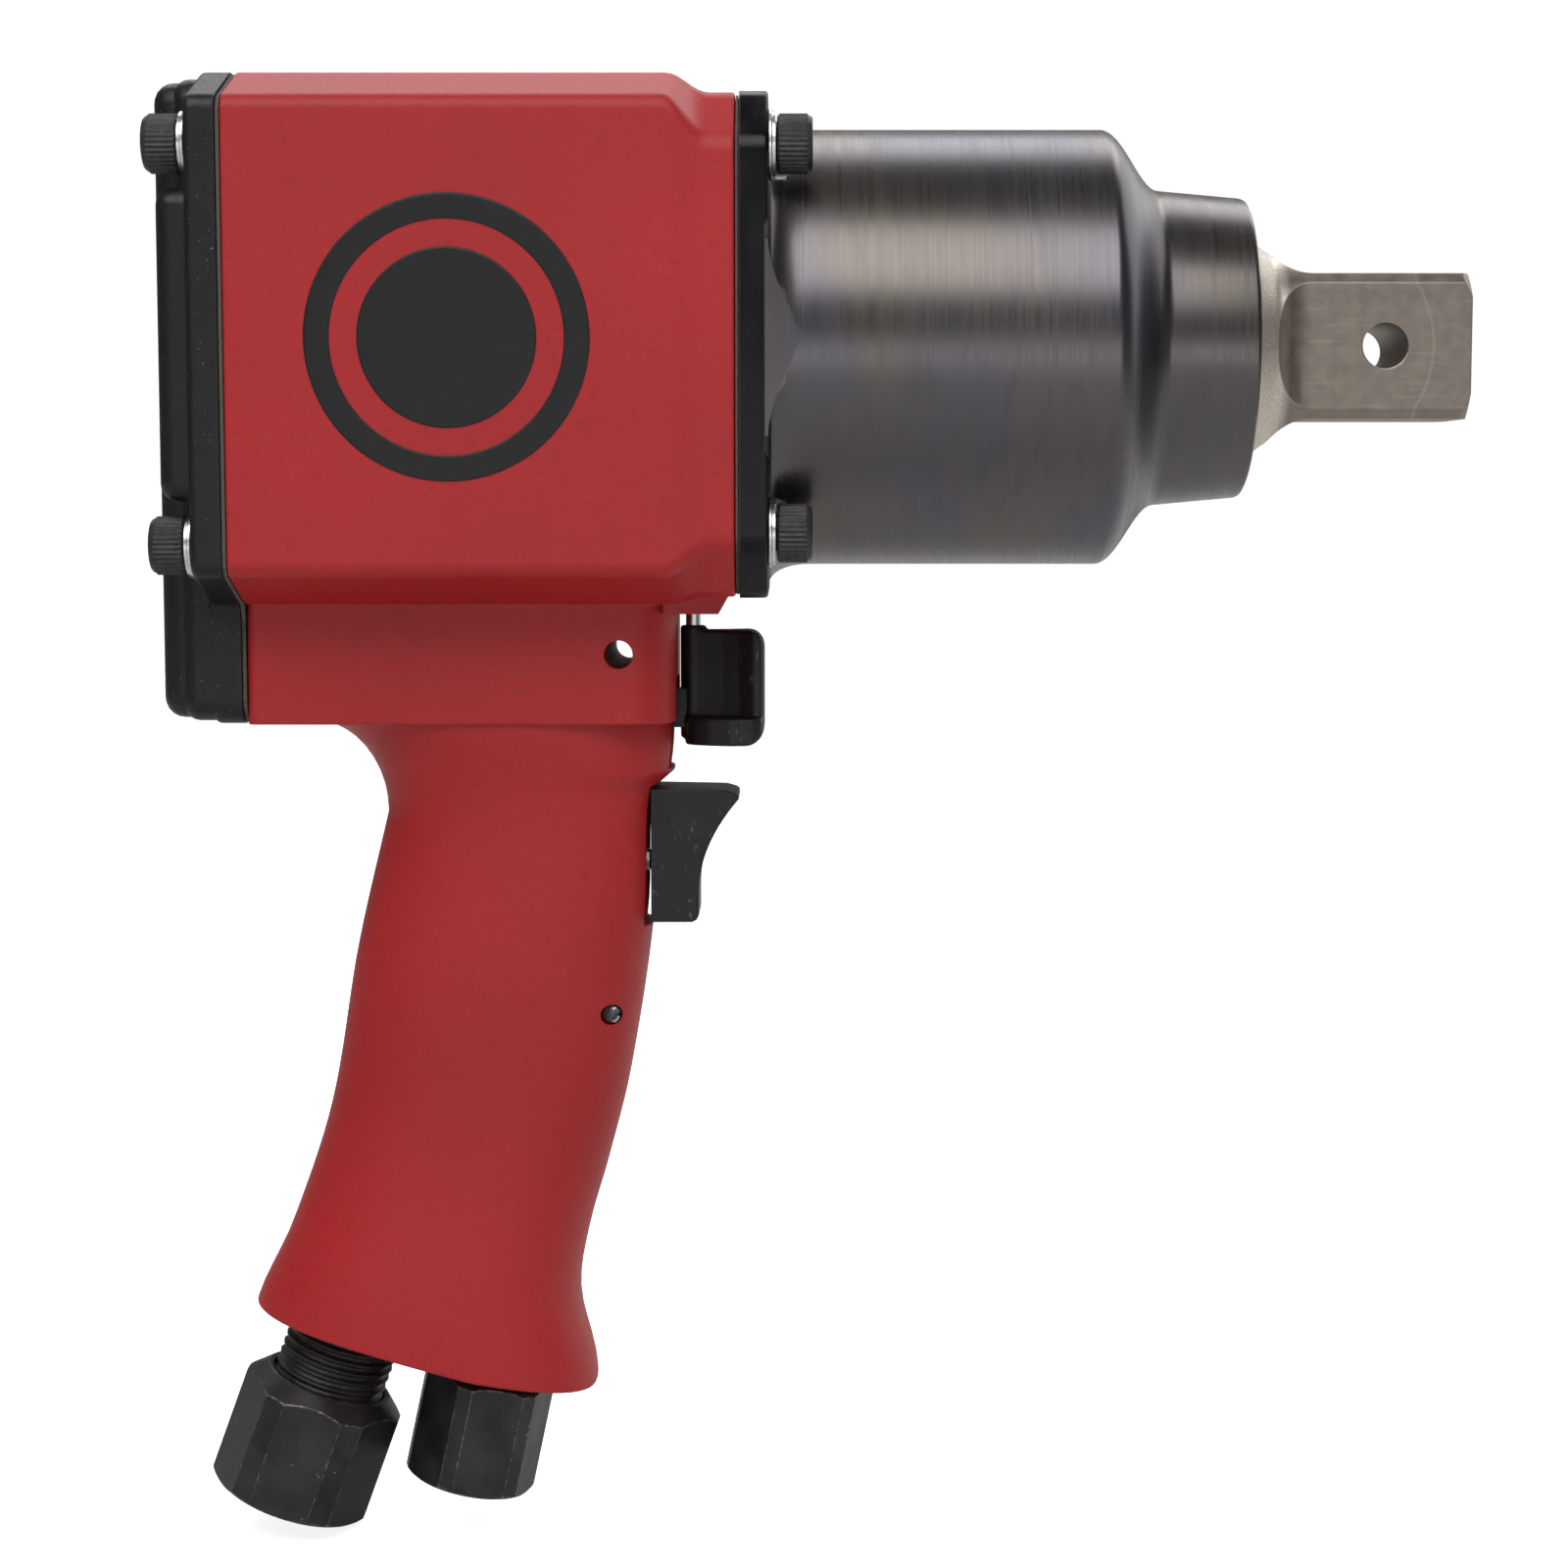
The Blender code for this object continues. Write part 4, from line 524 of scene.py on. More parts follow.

# %% [markdown]
# ## Black textured paint
#
# The rear cover has the same kind of paint in black. Black shows its grain only in the
# light it throws back, so the relief is a little stronger, and a few pale specks stand
# for the dust and rubbed grains that black paint always shows. Every edge is painted a
# paler grey, a painted highlight.

# %% Paint the cover's and the roundel's finish
for name, tone, specks in (("black_wrinkle_paint", "#101012", 1.0), ("black_fill_paint", "#101011", 0.3)):
    tree, shader, place = new_finish(name, roughness=0.42, specular=0.35)
    wrinkle = grain(tree, place, 0.8)
    dust = spread(tree, grain(tree, place, 0.45, detail=1.0), 0.74, 0.80)
    soft, edge = edges_of(tree, 0.6)
    black = blended(tree, product(tree, dust, 0.5 * specks), tone, "#8D8A86")
    # painted highlight: every edge is painted a paler grey
    black = blended(tree, product(tree, edge, 0.22), black, "#5C5B5C")
    coated(tree, shader, black, wrinkle, 0.36, 0.5)
    bumped(tree, shader, wrinkle, 0.12, 0.5, soft)

# %% [markdown]
# ## Blued steel
#
# The hammer case is turned from steel and blued. It mirrors the room in long bands,
# blurred by the turning marks that run round it, and the oxide tints it violet to
# brown. Real marks are about 0.1 mm apart; they are drawn 0.35 mm apart so that they
# show. They are a noise squeezed hard along the spindle and stretched across it.

# %% Blue the hammer case
tree, shader, place = new_finish("blued_turned_steel", metallic=1.0, roughness=0.27)
marks = grain(tree, place, 0.35, (1.0, 0.006, 0.006), detail=2.0)
tint = grain(tree, place, 22.0, (1.0, 0.6, 0.6), detail=2.0)
stain = grain(tree, place, 3.0, (1.0, 0.25, 0.25), detail=4.0)
steel = blended(tree, spread(tree, tint, 0.35, 0.65), "#5B5961", "#615C58")
steel = blended(tree, spread(tree, stain, 0.5, 0.75, 0.0, 0.3), steel, "#4A4851")
coated(tree, shader, steel, marks, 0.27, 0.35)
bumped(tree, shader, marks, 0.01, 0.1)

# %% [markdown]
# Its flange is left as black oxide with a coat of oil, which is darker and glossier
# than the turned barrel. It has faint wear on its rim.

# %% Black the flange
tree, shader, place = new_finish("oiled_black_steel", roughness=0.26, specular=0.22)
smear = grain(tree, place, 5.0, (1.0, 0.5, 0.5), detail=3.0)
soft, edge = edges_of(tree, 0.5)
black = blended(tree, spread(tree, smear, 0.4, 0.7), "#060607", "#0E0E10")
black = blended(tree, product(tree, edge, 0.35), black, "#7B7876")
coated(tree, shader, black, smear, 0.2, 0.36)
bumped(tree, shader, grain(tree, place, 0.6), 0.02, 0.2, soft)

# %% [markdown]
# ## Phosphated drive
#
# The anvil is forged, ground on its four flats and phosphated: a grey-brown metal with
# a dry look. Sockets rub its corners bright and scratch the flats across. The neck is
# blasted, so it is paler and evenly matt. Where one becomes the other is a matter of
# place along the spindle, so the mix reads the X coordinate.

# %% Phosphate the anvil
tree, shader, place = new_finish("phosphated_steel", metallic=1.0, roughness=0.45)
along = add_node(tree, "SeparateXYZ", {"Vector": place}).outputs["X"]
neck = spread(tree, along, -0.0318, -0.0336)
mottle = grain(tree, place, 2.5, detail=5.0)
scratch = grain(tree, place, 0.5, (0.05, 1.0, 1.0), detail=4.0)
soft, edge = edges_of(tree, 0.5)
drive = blended(tree, spread(tree, mottle, 0.35, 0.65), "#7E756E", "#8B827A")
drive = blended(tree, spread(tree, scratch, 0.58, 0.70, 0.0, 0.25), drive, "#A89F97")
socket_centre, socket_mark = (-0.027, 0.0, 0.0), 0.02395
rub = add_node(tree, "VectorMath", {0: place, 1: socket_centre}, operation="DISTANCE").outputs["Value"]
line = product(tree, spread(tree, rub, socket_mark - 0.00035, socket_mark - 0.00005),
               spread(tree, rub, socket_mark + 0.00035, socket_mark + 0.00005))
drive = blended(tree, product(tree, line, 0.2), drive, "#B9B1A8")
drive = blended(tree, product(tree, edge, 0.6), drive, "#C6BDB3")
grit = grain(tree, place, 0.4, detail=2.0)
blast = blended(tree, spread(tree, grit, 0.35, 0.65), "#BBB1A8", "#CFC6BD")
coated(tree, shader, blended(tree, neck, drive, blast), mottle, 0.4, 0.52)
relief = add_node(tree, "Math", {0: product(tree, scratch, 0.6), 1: grit}, operation="ADD").outputs[0]
bumped(tree, shader, relief, 0.03, 0.5, soft)

# %% [markdown]
# ## Black oxide
#
# Screws and pipe fittings are blackened in a hot bath. The film is thin and satin, and
# it wears to bare warm steel wherever a spanner touches it, so the edges and a few
# dents show pale. A noise breaks that wear up, so that no edge is worn all along. The
# fittings' flats meet at a blunt angle, so their wear starts from a smaller one.

# %% Blacken screws and fittings
for name, tone, worn, wear, sharpest in (("black_oxide_screw", "#2A2A2B", "#6E6A66", 0.35, 1.0),
                                         ("black_oxide_fitting", "#2C2D30", "#A3958A", 0.8, 0.2)):
    tree, shader, place = new_finish(name, metallic=0.6, roughness=0.42)
    smear = grain(tree, place, 6.0, detail=4.0)
    chips = grain(tree, place, 1.2, detail=4.0)
    soft, edge = edges_of(tree, 0.5)
    rubbed = product(tree, spread(tree, edge, 0.0, sharpest), spread(tree, chips, 0.46, 0.58, 0.1, 1.0))
    dent = product(tree, spread(tree, chips, 0.69, 0.74), spread(tree, smear, 0.45, 0.6))
    film = blended(tree, spread(tree, smear, 0.35, 0.65), tone, "#3B3B3E")
    film = blended(tree, product(tree, dent, wear), film, worn)
    film = blended(tree, product(tree, rubbed, wear), film, worn)
    coated(tree, shader, film, smear, 0.34, 0.5)
    bumped(tree, shader, chips, 0.03, 0.3, soft)

# %% [markdown]
# ## Moulded nylon
#
# Trigger and reverse lever are glass-filled nylon, a dark grey that is nearly black.
# The mould gives it a soft sheen and a very fine grain; fingers polish it and leave
# grey scuffs. Every edge is painted a paler grey, a painted highlight.

# %% Mould the nylon
tree, shader, place = new_finish("glass_filled_nylon", roughness=0.45, specular=0.35)
sheen = grain(tree, place, 8.0, detail=2.0)
scuff = product(tree, spread(tree, grain(tree, place, 0.6, (1.0, 1.0, 0.3), detail=4.0), 0.60, 0.70),
                spread(tree, grain(tree, place, 5.0, detail=1.0), 0.5, 0.62))
soft, edge = edges_of(tree, 0.35)
black = blended(tree, product(tree, scuff, 0.5), "#121112", "#6A6866")
# painted highlight: every edge is painted a paler grey
black = blended(tree, product(tree, edge, 0.3), black, "#5C5A58")
coated(tree, shader, black, sheen, 0.36, 0.5)
bumped(tree, shader, grain(tree, place, 0.25, detail=1.0), 0.02, 0.3, soft)

# %% [markdown]
# ## Plain metals and soft parts
#
# The rest are stock materials: bright zinc on the washers, ground steel on shafts and
# pins, cast iron, aluminium, bronze, and the fibre, rubber and gasket paper inside.
# Each is told by its colour, its gloss and the marks of how it was cut or moulded, so
# one loop with a line for each is enough.

# %% Stock materials
stock = (
    # name, metallic, roughness, colour, second colour, mark size in mm, stretch along X, depth in mm
    ("bright_zinc", 1.0, 0.3, "#C3C5C8", "#DADBDC", 0.6, 1.0, 0.02),
    ("ground_steel", 1.0, 0.28, "#A9AAAD", "#BDBEC0", 0.3, 3.0, 0.01),
    ("cast_iron", 1.0, 0.55, "#6B6B6E", "#7C7C7E", 1.0, 1.0, 0.05),
    ("machined_aluminium", 1.0, 0.4, "#C2C3C5", "#D2D3D4", 0.4, 4.0, 0.02),
    ("bearing_bronze", 1.0, 0.4, "#A9763A", "#BB8A50", 0.4, 4.0, 0.02),
    ("fibre_laminate", 0.0, 0.7, "#7A5A3A", "#8C6B48", 0.7, 0.2, 0.03),
    ("nitrile_rubber", 0.0, 0.75, "#1B1B1B", "#262626", 0.5, 1.0, 0.03),
    ("gasket_paper", 0.0, 0.9, "#4A443E", "#5C554D", 0.8, 1.0, 0.03),
)
for name, metallic, roughness, tone, second, size, stretch, depth in stock:
    tree, shader, place = new_finish(name, metallic, roughness)
    marks = grain(tree, place, size, (stretch, 1.0, 1.0))
    mixed = blended(tree, spread(tree, marks, 0.35, 0.65), tone, second)
    coated(tree, shader, mixed, marks, roughness - 0.06, roughness + 0.06)
    bumped(tree, shader, marks, depth, 0.3)
print(len(finishes), "finishes")

# %% [markdown]
# The pieces inside keep their CAD shape, which is right already. They only need their
# finish, given by the record's material slot of each node.

# %% Finish the CAD nodes
by_slot = {
    "red_paint": "red_wrinkle_paint", "black_paint": "black_wrinkle_paint", "blued_steel": "blued_turned_steel",
    "drive_steel": "phosphated_steel", "black_oxide": "black_oxide_fitting", "zinc": "bright_zinc",
    "ground_steel": "ground_steel", "cast_iron": "cast_iron", "aluminium": "machined_aluminium",
    "bronze": "bearing_bronze", "fibre": "fibre_laminate", "nylon": "glass_filled_nylon",
    "rubber": "nitrile_rubber", "gasket_paper": "gasket_paper",
}
slot_of = {part["node"]: part["material_slot"] for part in frame["record"]["subparts"]}
for name, node in frame["nodes"].items():
    for holder in node.material_slots:
        holder.material = finishes[by_slot[slot_of[name]]]
print(len(slot_of), "nodes finished")

# %% [markdown]
# ## Motor housing
#
# One casting holds the air motor in its barrel and carries the grip. By hand it is four
# solids joined: the barrel, which narrows to a collar at the front; the block under
# it; the grip, drawn through rounded sections; and the small nose that holds the
# lever's pin. The places come from the frame: the gasket marks the back of the barrel,
# and the housing's own box marks its front.

# %% Barrel and collar
case_low, case_high = box_mm("hammer_case")
house_high = box_mm("motor_housing")[1]
back_x, front_x = box_mm("rear_gasket")[1].x + 0.15, house_high.x
half_width, top_z, low_z = 38.03, house_high.z, -44.99
barrel_outline = eased(both_sides([(22.0, top_z, 4.0), (half_width, top_z - 6.0, 3.0),
                                   (half_width, low_z + 5.5, 3.0), (22.0, low_z, 4.0)]))
collar_outline = eased(both_sides([(28.2, top_z - 4.0, 5.0), (37.2, top_z - 13.0, 5.0),
                                   (37.2, low_z + 10.5, 5.0), (28.2, low_z + 1.5, 5.0)]))
rings = [across_x(barrel_outline, back_x), across_x(barrel_outline, front_x - 12.0)]
for k in range(1, 9):
    share = (1 - math.cos(math.pi * k / 8)) / 2
    rings.append([(front_x - 12.0 + 7.6 * k / 8, a + (c - a) * share, b + (d - b) * share)
                  for (a, b), (c, d) in zip(barrel_outline, collar_outline)])
rings.append(across_x(collar_outline, front_x))
barrel = lofted("housing_shell", rings)
barrel = round_edges(barrel, 0.5, 2, lambda at, angle, way: angle > 60)
print("barrel", round(back_x, 1), "to", round(front_x, 1), "mm")

# %% [markdown]
# The grip is a stack of squircles: rounded sections that are neither oval nor box. Two
# smooth curves give the front and the back of the stack, and a third its half width.
# An elliptical arc carries its back into the block, where the web of the hand sits.

# %% Block and grip
block_x, block_z = front_x - 10.9, low_z - 21.0
block_outline = eased([(block_x, 20.5, 9.0), (block_x, -20.5, 9.0), (back_x, -20.5, 1.5), (back_x, 20.5, 1.5)], 8)
block = lofted("block", [across_z(block_outline, block_z), across_z(block_outline, low_z + 4.0)])
block = round_edges(block, 0.7, 3, lambda at, angle, way: at.z < block_z + 0.1 and at.x < block_x - 22)

front_curve = ((-12, 0.0), (9.4, 0.6), (12.3, 3.6), (35.6, 4.4), (64.6, 8.8), (81, 12.9), (94, 16.6), (106, 18.3),
               (119, 15.5), (130, 15.0))
back_curve = ((16.6, 52.3), (41, 58.1), (70, 63.3), (92, 70.7), (108, 77.8), (130, 79.0))
width_curve = ((-12, 20.0), (0, 19.8), (16.6, 17.6), (50, 17.2), (84, 18.4), (106, 20.3), (130, 20.8))


def on_curve(knots, drop):
    """How far a smooth curve through (drop, reach) knots reaches at a drop."""
    i = max(0, min(len(knots) - 2, sum(knot[0] <= drop for knot in knots) - 1))
    (a, u), (b, v) = knots[i], knots[i + 1]
    before, after = knots[max(i - 1, 0)], knots[min(i + 2, len(knots) - 1)]
    start = (v - before[1]) / (b - before[0]) * (b - a)
    end = (after[1] - u) / (after[0] - a) * (b - a)
    t = max(0.0, min(1.0, (drop - a) / (b - a)))
    return ((2 * t**3 - 3 * t**2 + 1) * u + (t**3 - 2 * t**2 + t) * start + (3 * t**2 - 2 * t**3) * v
            + (t**3 - t**2) * end)


def grip_ring(drop, corners=64):
    """One section of the grip, so far under the block."""
    ahead, behind = on_curve(front_curve, drop), on_curve(back_curve, max(drop, 16.6))
    if drop < 16.6:
        rise = min(1.0, (16.6 - max(drop, 0.0)) / 16.6)
        behind = 52.3 + 13.8 * (1 - math.sqrt(1 - rise**2))
    centre, reach, half = block_x - (ahead + behind) / 2, (behind - ahead) / 2, on_curve(width_curve, drop)
    ring = []
    for k in range(corners):
        c, s = math.cos(2 * math.pi * k / corners), math.sin(2 * math.pi * k / corners)
        ring.append((centre + reach * math.copysign(abs(c) ** (2 / 2.7), c),
                     half * math.copysign(abs(s) ** (2 / 2.7), s), block_z - drop))
    return ring


drops = [-12.0] + [16.6 * (1 - math.cos(math.radians(9 * k))) for k in range(11)] + [9.4, 12.3]
drops += [19.0 + 3.0 * k for k in range(38)]
grip = lofted("grip", [grip_ring(drop) for drop in sorted(drops)])
print("grip", round(drops[-1]), "mm deep")

# %% [markdown]
# The foot of the grip is sawn off by two planes, one square to each air fitting. That is
# two bisects that keep what lies above. The new rim is rounded like a cast edge.

# %% Foot and lever nose
only(grip)
bpy.ops.object.mode_set(mode="EDIT")
for x, z, tilt in ((block_x - 61.1, block_z - 110.8, 16.0), (block_x - 36.7, block_z - 117.8, 12.0)):
    lean = math.radians(tilt)
    bpy.ops.mesh.select_all(action="SELECT")
    bpy.ops.mesh.bisect(plane_co=(x * MM, 0.0, z * MM), plane_no=(-math.sin(lean), 0.0, -math.cos(lean)),
                        use_fill=True, clear_outer=True)
tidied(grip)
grip = round_edges(grip, 1.1, 4, lambda at, angle, way: angle > 40 and at.z < block_z - 60)
nose_side = [(block_x - 2.0, low_z + 6.2), (front_x - 0.9, low_z + 6.2), (front_x - 1.5, low_z + 1.3),
             (front_x - 3.2, low_z - 1.8), (block_x - 2.0, low_z - 1.8)]
nose = lofted("nose", [across_y(nose_side, -18.5), across_y(nose_side, 18.5)])
use_tools(barrel, "UNION", [block, grip, nose])
print("housing joined:", len(barrel.data.vertices), "corners")

# %% [markdown]
# Holes are bored for the motor, the screws, the throttle and the reverse valve, the
# two fittings, the pins, and one open hole near the top for a hanger. The bars for the
# motor, the screws, the throttle, the reverse valve and the trigger are laid from those
# pieces' boxes; the others are placed from the block.

# %% Bore the housing
motor_high = box_mm("motor_cylinder")[1]
reverse_low, reverse_high = box_mm("reverse_valve")
seat_low, seat_high = box_mm("throttle_seat")
retainer_low, retainer_high = box_mm("spring_retainer")
trigger_low, trigger_high = box_mm("trigger")
supply_x, reverse_x = (seat_low.x + seat_high.x) / 2, (reverse_low.x + reverse_high.x) / 2
exhaust_foot, exhaust_lean = Vector((block_x - 72.9, 0.0, block_z - 144.6)), math.radians(20)
inlet_foot, inlet_lean = Vector((block_x - 39.2, 0.0, block_z - 141.5)), math.radians(12)


def up_from(foot, lean, along):
    """A point so far up a leaning fitting's axis."""
    return foot + along * Vector((math.sin(lean), 0.0, math.cos(lean)))


reverse_reach = (reverse_high.x - reverse_low.x) / 2 + 0.3
chamber = [(reverse_x + reverse_reach * math.cos(math.radians(90 + 9 * k)),
            reverse_reach * math.sin(math.radians(90 + 9 * k))) for k in range(21)]
chamber = [(block_x + 4.0, reverse_reach), *chamber, (block_x + 4.0, -reverse_reach)]
ball_z = (reverse_low.z + reverse_high.z) / 2 + 0.5
tools = [
    bar((back_x - 10, 0, 0), (front_x + 10, 0, 0), motor_high.y + 0.3, 96),
    lofted("chamber", [across_z(chamber, reverse_low.z - 0.3), across_z(chamber, reverse_high.z + 0.3)]),
    bar((supply_x, 0, retainer_low.z - 0.3), (supply_x, 0, reverse_high.z - 4), retainer_high.y + 0.3, 48),
    bar((supply_x - 1, 0, reverse_high.z - 7), (supply_x - 1, 0, low_z + 15), 6.0),
    bar(up_from(inlet_foot, inlet_lean, 0), up_from(inlet_foot, inlet_lean, 36.1), 9.7, 48),
    bar(up_from(inlet_foot, inlet_lean, 34.1), up_from(inlet_foot, inlet_lean, 84), 7.0),
    bar(up_from(exhaust_foot, exhaust_lean, 0), up_from(exhaust_foot, exhaust_lean, 48.2), 10.7, 48),
    bar(up_from(exhaust_foot, exhaust_lean, 45.9), (block_x - 40.9, 0, block_z - 16.6), 7.0),
    bar((block_x - 40.9, 0, block_z - 18.6), (block_x - 40.9, 0, low_z + 15), 7.0),
    block_of((trigger_low.x - 5.8, trigger_low.y - 0.3, trigger_low.z - 0.6),
             (trigger_low.x + 8, trigger_high.y + 0.3, trigger_high.z + 0.6)),
    bar((supply_x, 0, block_z - 26), (trigger_low.x, 0, block_z - 26), 2.3),
    bar((block_x - 11.7, -30, block_z - 52.6), (block_x - 11.7, 30, block_z - 52.6), 1.9, 40),
    bar((block_x + 2.8, 0, low_z - 6), (block_x + 2.8, 0, low_z + 4.2), 1.65),
    bar((reverse_x, 3, ball_z), (reverse_x, 15.1, ball_z), 1.9),
    bar((block_x - 9.7, -30, block_z + 12.2), (block_x - 9.7, 30, block_z + 12.2), 2.5, 48),
]
for side in ("front", "rear"):
    for corner in CORNERS:
        y, z = screw_axis(side, corner)
        start, end = (front_x + 2, front_x - 18) if side == "front" else (back_x - 2, back_x + 18)
        tools.append(bar((start, y, z), (end, y, z), 3.3, 24))
use_tools(barrel, "DIFFERENCE", tools)
finished(barrel, "housing", ["motor_housing"], "red_wrinkle_paint", 32)

# %% [markdown]
# ## Plain roundel
#
# A raised round mark sits on each side of the barrel. It is left without any sign: a
# flat black ring round a plain black disc, a fraction of a millimetre proud of the red.
# Each is turned, laid flat on the side face, and its rims are rounded a little.

# %% Roundels
roundel_x = -176.7
for side, face in (("right", -1), ("left", 1)):
    proud = [(-0.4, 0.0), (0.26, 0.0), (0.26, 14.6), (0.12, 15.0), (-0.4, 15.0)]
    disc = turned(f"roundel_disc_{side}", [*proud, (-0.4, 0.0)], 128)
    ring = turned(f"roundel_ring_{side}", [(-0.4, 19.6), (0.12, 19.6), (0.26, 20.0), (0.26, 23.5), (0.12, 23.9),
                                           (-0.4, 23.9), (-0.4, 19.6)], 160)
    for piece in (disc, ring):
        turn = Matrix.Rotation(math.radians(90 * face), 4, "Z")
        moved(piece, Matrix.Translation((roundel_x * MM, face * half_width * MM, 0.0)) @ turn)
        finished(piece, "housing", [], "black_fill_paint", 20)

# %% [markdown]
# ## Rear cover
#
# The cover is one casting in three steps: a plate that follows the housing, a cross
# raised on it and notched for the screw heads, and a band down its middle. Each is an
# outline extruded towards the back, with its far rim rounded before they are joined.

# %% Rear cover
cover_x = box_mm("rear_cover")[1].x
bottom_z = block_z


def stepped(name, outline, depth, edge):
    """An outline extruded towards the back, its far rim rounded."""
    made = lofted(name, [across_x(outline, cover_x if name == "cover_plate" else cover_x - 2.0),
                         across_x(outline, cover_x - depth)])
    return round_edges(made, edge, 5, lambda at, angle, way: abs(at.x - cover_x + depth) < 0.01 and angle > 60)


plate_outline = eased(both_sides([(22.0, top_z, 4.0), (half_width, top_z - 6.0, 3.0), (half_width, low_z + 5.5, 3.0),
                                  (22.0, low_z, 2.5), (20.5, low_z - 3.0, 1.5), (20.5, bottom_z, 4.0)]))
plate = stepped("cover_plate", plate_outline, 5.3, 1.2)
notch_high, notch_low = 25.1, -27.2
cross_outline = eased(both_sides([(20.5, top_z - 0.5, 4.0), (20.5, notch_high, 0.0), (36.5, notch_high, 3.2),
                                  (36.5, notch_low, 3.2), (20.5, notch_low, 0.0), (20.5, bottom_z + 0.5, 4.0)]))
cross = stepped("cover_cross", cross_outline, 10.7, 2.8)
band_outline = eased(both_sides([(19.5, top_z - 1.0, 4.0), (19.5, bottom_z + 1.0, 4.0)]))
band = stepped("cover_band", band_outline, 14.2, 3.4)
use_tools(plate, "UNION", [cross, band])
bearing_r, clearance_r = 27.0, 3.3
tools = [bar((cover_x + 2, 0, 0), (cover_x - 7.7, 0, 0), bearing_r, 96)]
for corner in CORNERS:
    y, z = screw_axis("rear", corner)
    tools.append(bar((cover_x + 2, y, z), (cover_x - 16, y, z), clearance_r, 24))
use_tools(plate, "DIFFERENCE", tools)
plate.name = plate.data.name = "rear_cover_cast"
finished(plate, "housing", ["rear_cover"], "black_wrinkle_paint", 32)

# %% [markdown]
# ## Hammer case
#
# The case is turned from one piece: a nose, a round shoulder and a straight barrel that
# swells into the flange. The profile is drawn with many short steps where it curves and
# spun in fine steps, because polished steel shows every flat.

# %% Hammer case
nose_x, flange_x = case_high.x, case_low.x
face_x = flange_x + 4.9
nose_r, base_r, case_r, bore_r = 26.5, 27.8, 38.4, 34.4
nose_end, shoulder, swell_long, swell_high = 15.2, 10.7, 7.0, 3.5
profile = [(nose_x + 0.0, 20.9), (nose_x, nose_r - 0.9), (nose_x - 0.3, nose_r - 0.3), (nose_x - 0.9, nose_r),
           (nose_x - nose_end, base_r)]
for k in range(1, 25):
    t = k / 24
    profile.append((nose_x - nose_end - shoulder * t, base_r + (case_r - base_r) * (1 - math.cos(math.pi * t)) / 2))
profile.append((face_x + swell_long, case_r))
for k in range(1, 9):
    turn = math.radians(90 * k / 8)
    profile.append((face_x + swell_long * (1 - math.sin(turn)), case_r + swell_high * (1 - math.cos(turn))))
profile += [(face_x - 0.5, case_r + swell_high), (face_x - 0.5, bore_r), (nose_x - 31.05, bore_r),
            (nose_x - 26.05, 27.7), (nose_x - 26.05, 23.7), (nose_x - 1.5, 23.7), (nose_x - 1.5, 20.9), (nose_x, 20.9)]
case = turned("hammer_case_turned", profile, 160)
keep = block_of((flange_x - 5, -38.6, -60), (5, 38.6, 60))
use_tools(case, "INTERSECT", [keep])
flange_outline = eased(both_sides([(28.4, top_z - 3.8, 5.0), (37.4, top_z - 12.8, 5.0),
                                   (37.4, low_z + 10.3, 5.0), (28.4, low_z + 1.3, 5.0)]))
flange = lofted("flange", [across_x(flange_outline, flange_x), across_x(flange_outline, face_x)])
flange = round_edges(flange, 0.6, 3, lambda at, angle, way: at.x > face_x - 0.01 and angle > 60)
use_tools(case, "UNION", [flange])
washer_clear_r = 6.1
tools = [bar((flange_x - 3, 0, 0), (flange_x + 6, 0, 0), bore_r, 160)]
for corner in CORNERS:
    y, z = screw_axis("front", corner)
    tools += [bar((face_x, y, z), (face_x + 12, y, z), washer_clear_r, 40),
              bar((flange_x - 2, y, z), (face_x + 2, y, z), clearance_r, 24)]
use_tools(case, "DIFFERENCE", tools)
finished(case, "housing", ["hammer_case"], "blued_turned_steel", 30)
case.data.materials.append(finishes["oiled_black_steel"])
for face in case.data.polygons:
    at = face.center / MM
    if at.x < face_x + 0.2 or math.hypot(at.y, at.z) > case_r + 2.2:
        face.material_index = 1

# %% [markdown]
# ## Screws and washers
#
# Eight socket-head screws hold the tool together. The head's side is knurled: a ring of
# teeth drawn as an outline and extruded, then closed by a smooth chamfer. The hexagon
# socket is cut out. Under each head are a flat washer and a split spring washer, whose
# ends stand apart a little. One of each is made, then copied with its own mesh.

# %% One screw
head_r, head_x, shank = 5.0, -6.0, 3.0


def knurled(radius, x, teeth=36):
    ring = []
    for k in range(teeth * 4):
        reach = radius - (0.24, 0.0, 0.0, 0.24)[k % 4]
        ring.append((x, reach * math.cos(2 * math.pi * k / teeth / 4), reach * math.sin(2 * math.pi * k / teeth / 4)))
    return ring


def plain(radius, x, teeth=36):
    return [(x, radius * math.cos(math.pi * k / teeth / 2), radius * math.sin(math.pi * k / teeth / 2))
            for k in range(teeth * 4)]


screw = lofted("screw", [plain(4.5, 0.0), plain(4.74, -0.25), knurled(head_r, -0.5), knurled(head_r, head_x + 0.9),
                         plain(4.7, head_x + 0.75), plain(4.6, head_x + 0.35), plain(4.25, head_x)])
body = bar((-1.0, 0, 0), (22.5, 0, 0), shank, 32)
use_tools(screw, "UNION", [body])
hexagon = [(2.887 * math.cos(math.radians(60 * k)), 2.887 * math.sin(math.radians(60 * k))) for k in range(6)]
use_tools(screw, "DIFFERENCE", [lofted("socket", [across_x(hexagon, head_x - 1), across_x(hexagon, head_x + 3.2)])])
flat_washer = turned("flat_washer", [(0.0, 3.3), (0.0, 5.65), (0.08, 5.8), (0.42, 5.8), (0.5, 5.65), (0.5, 3.3),
                                     (0.0, 3.3)], 48)
coil = []
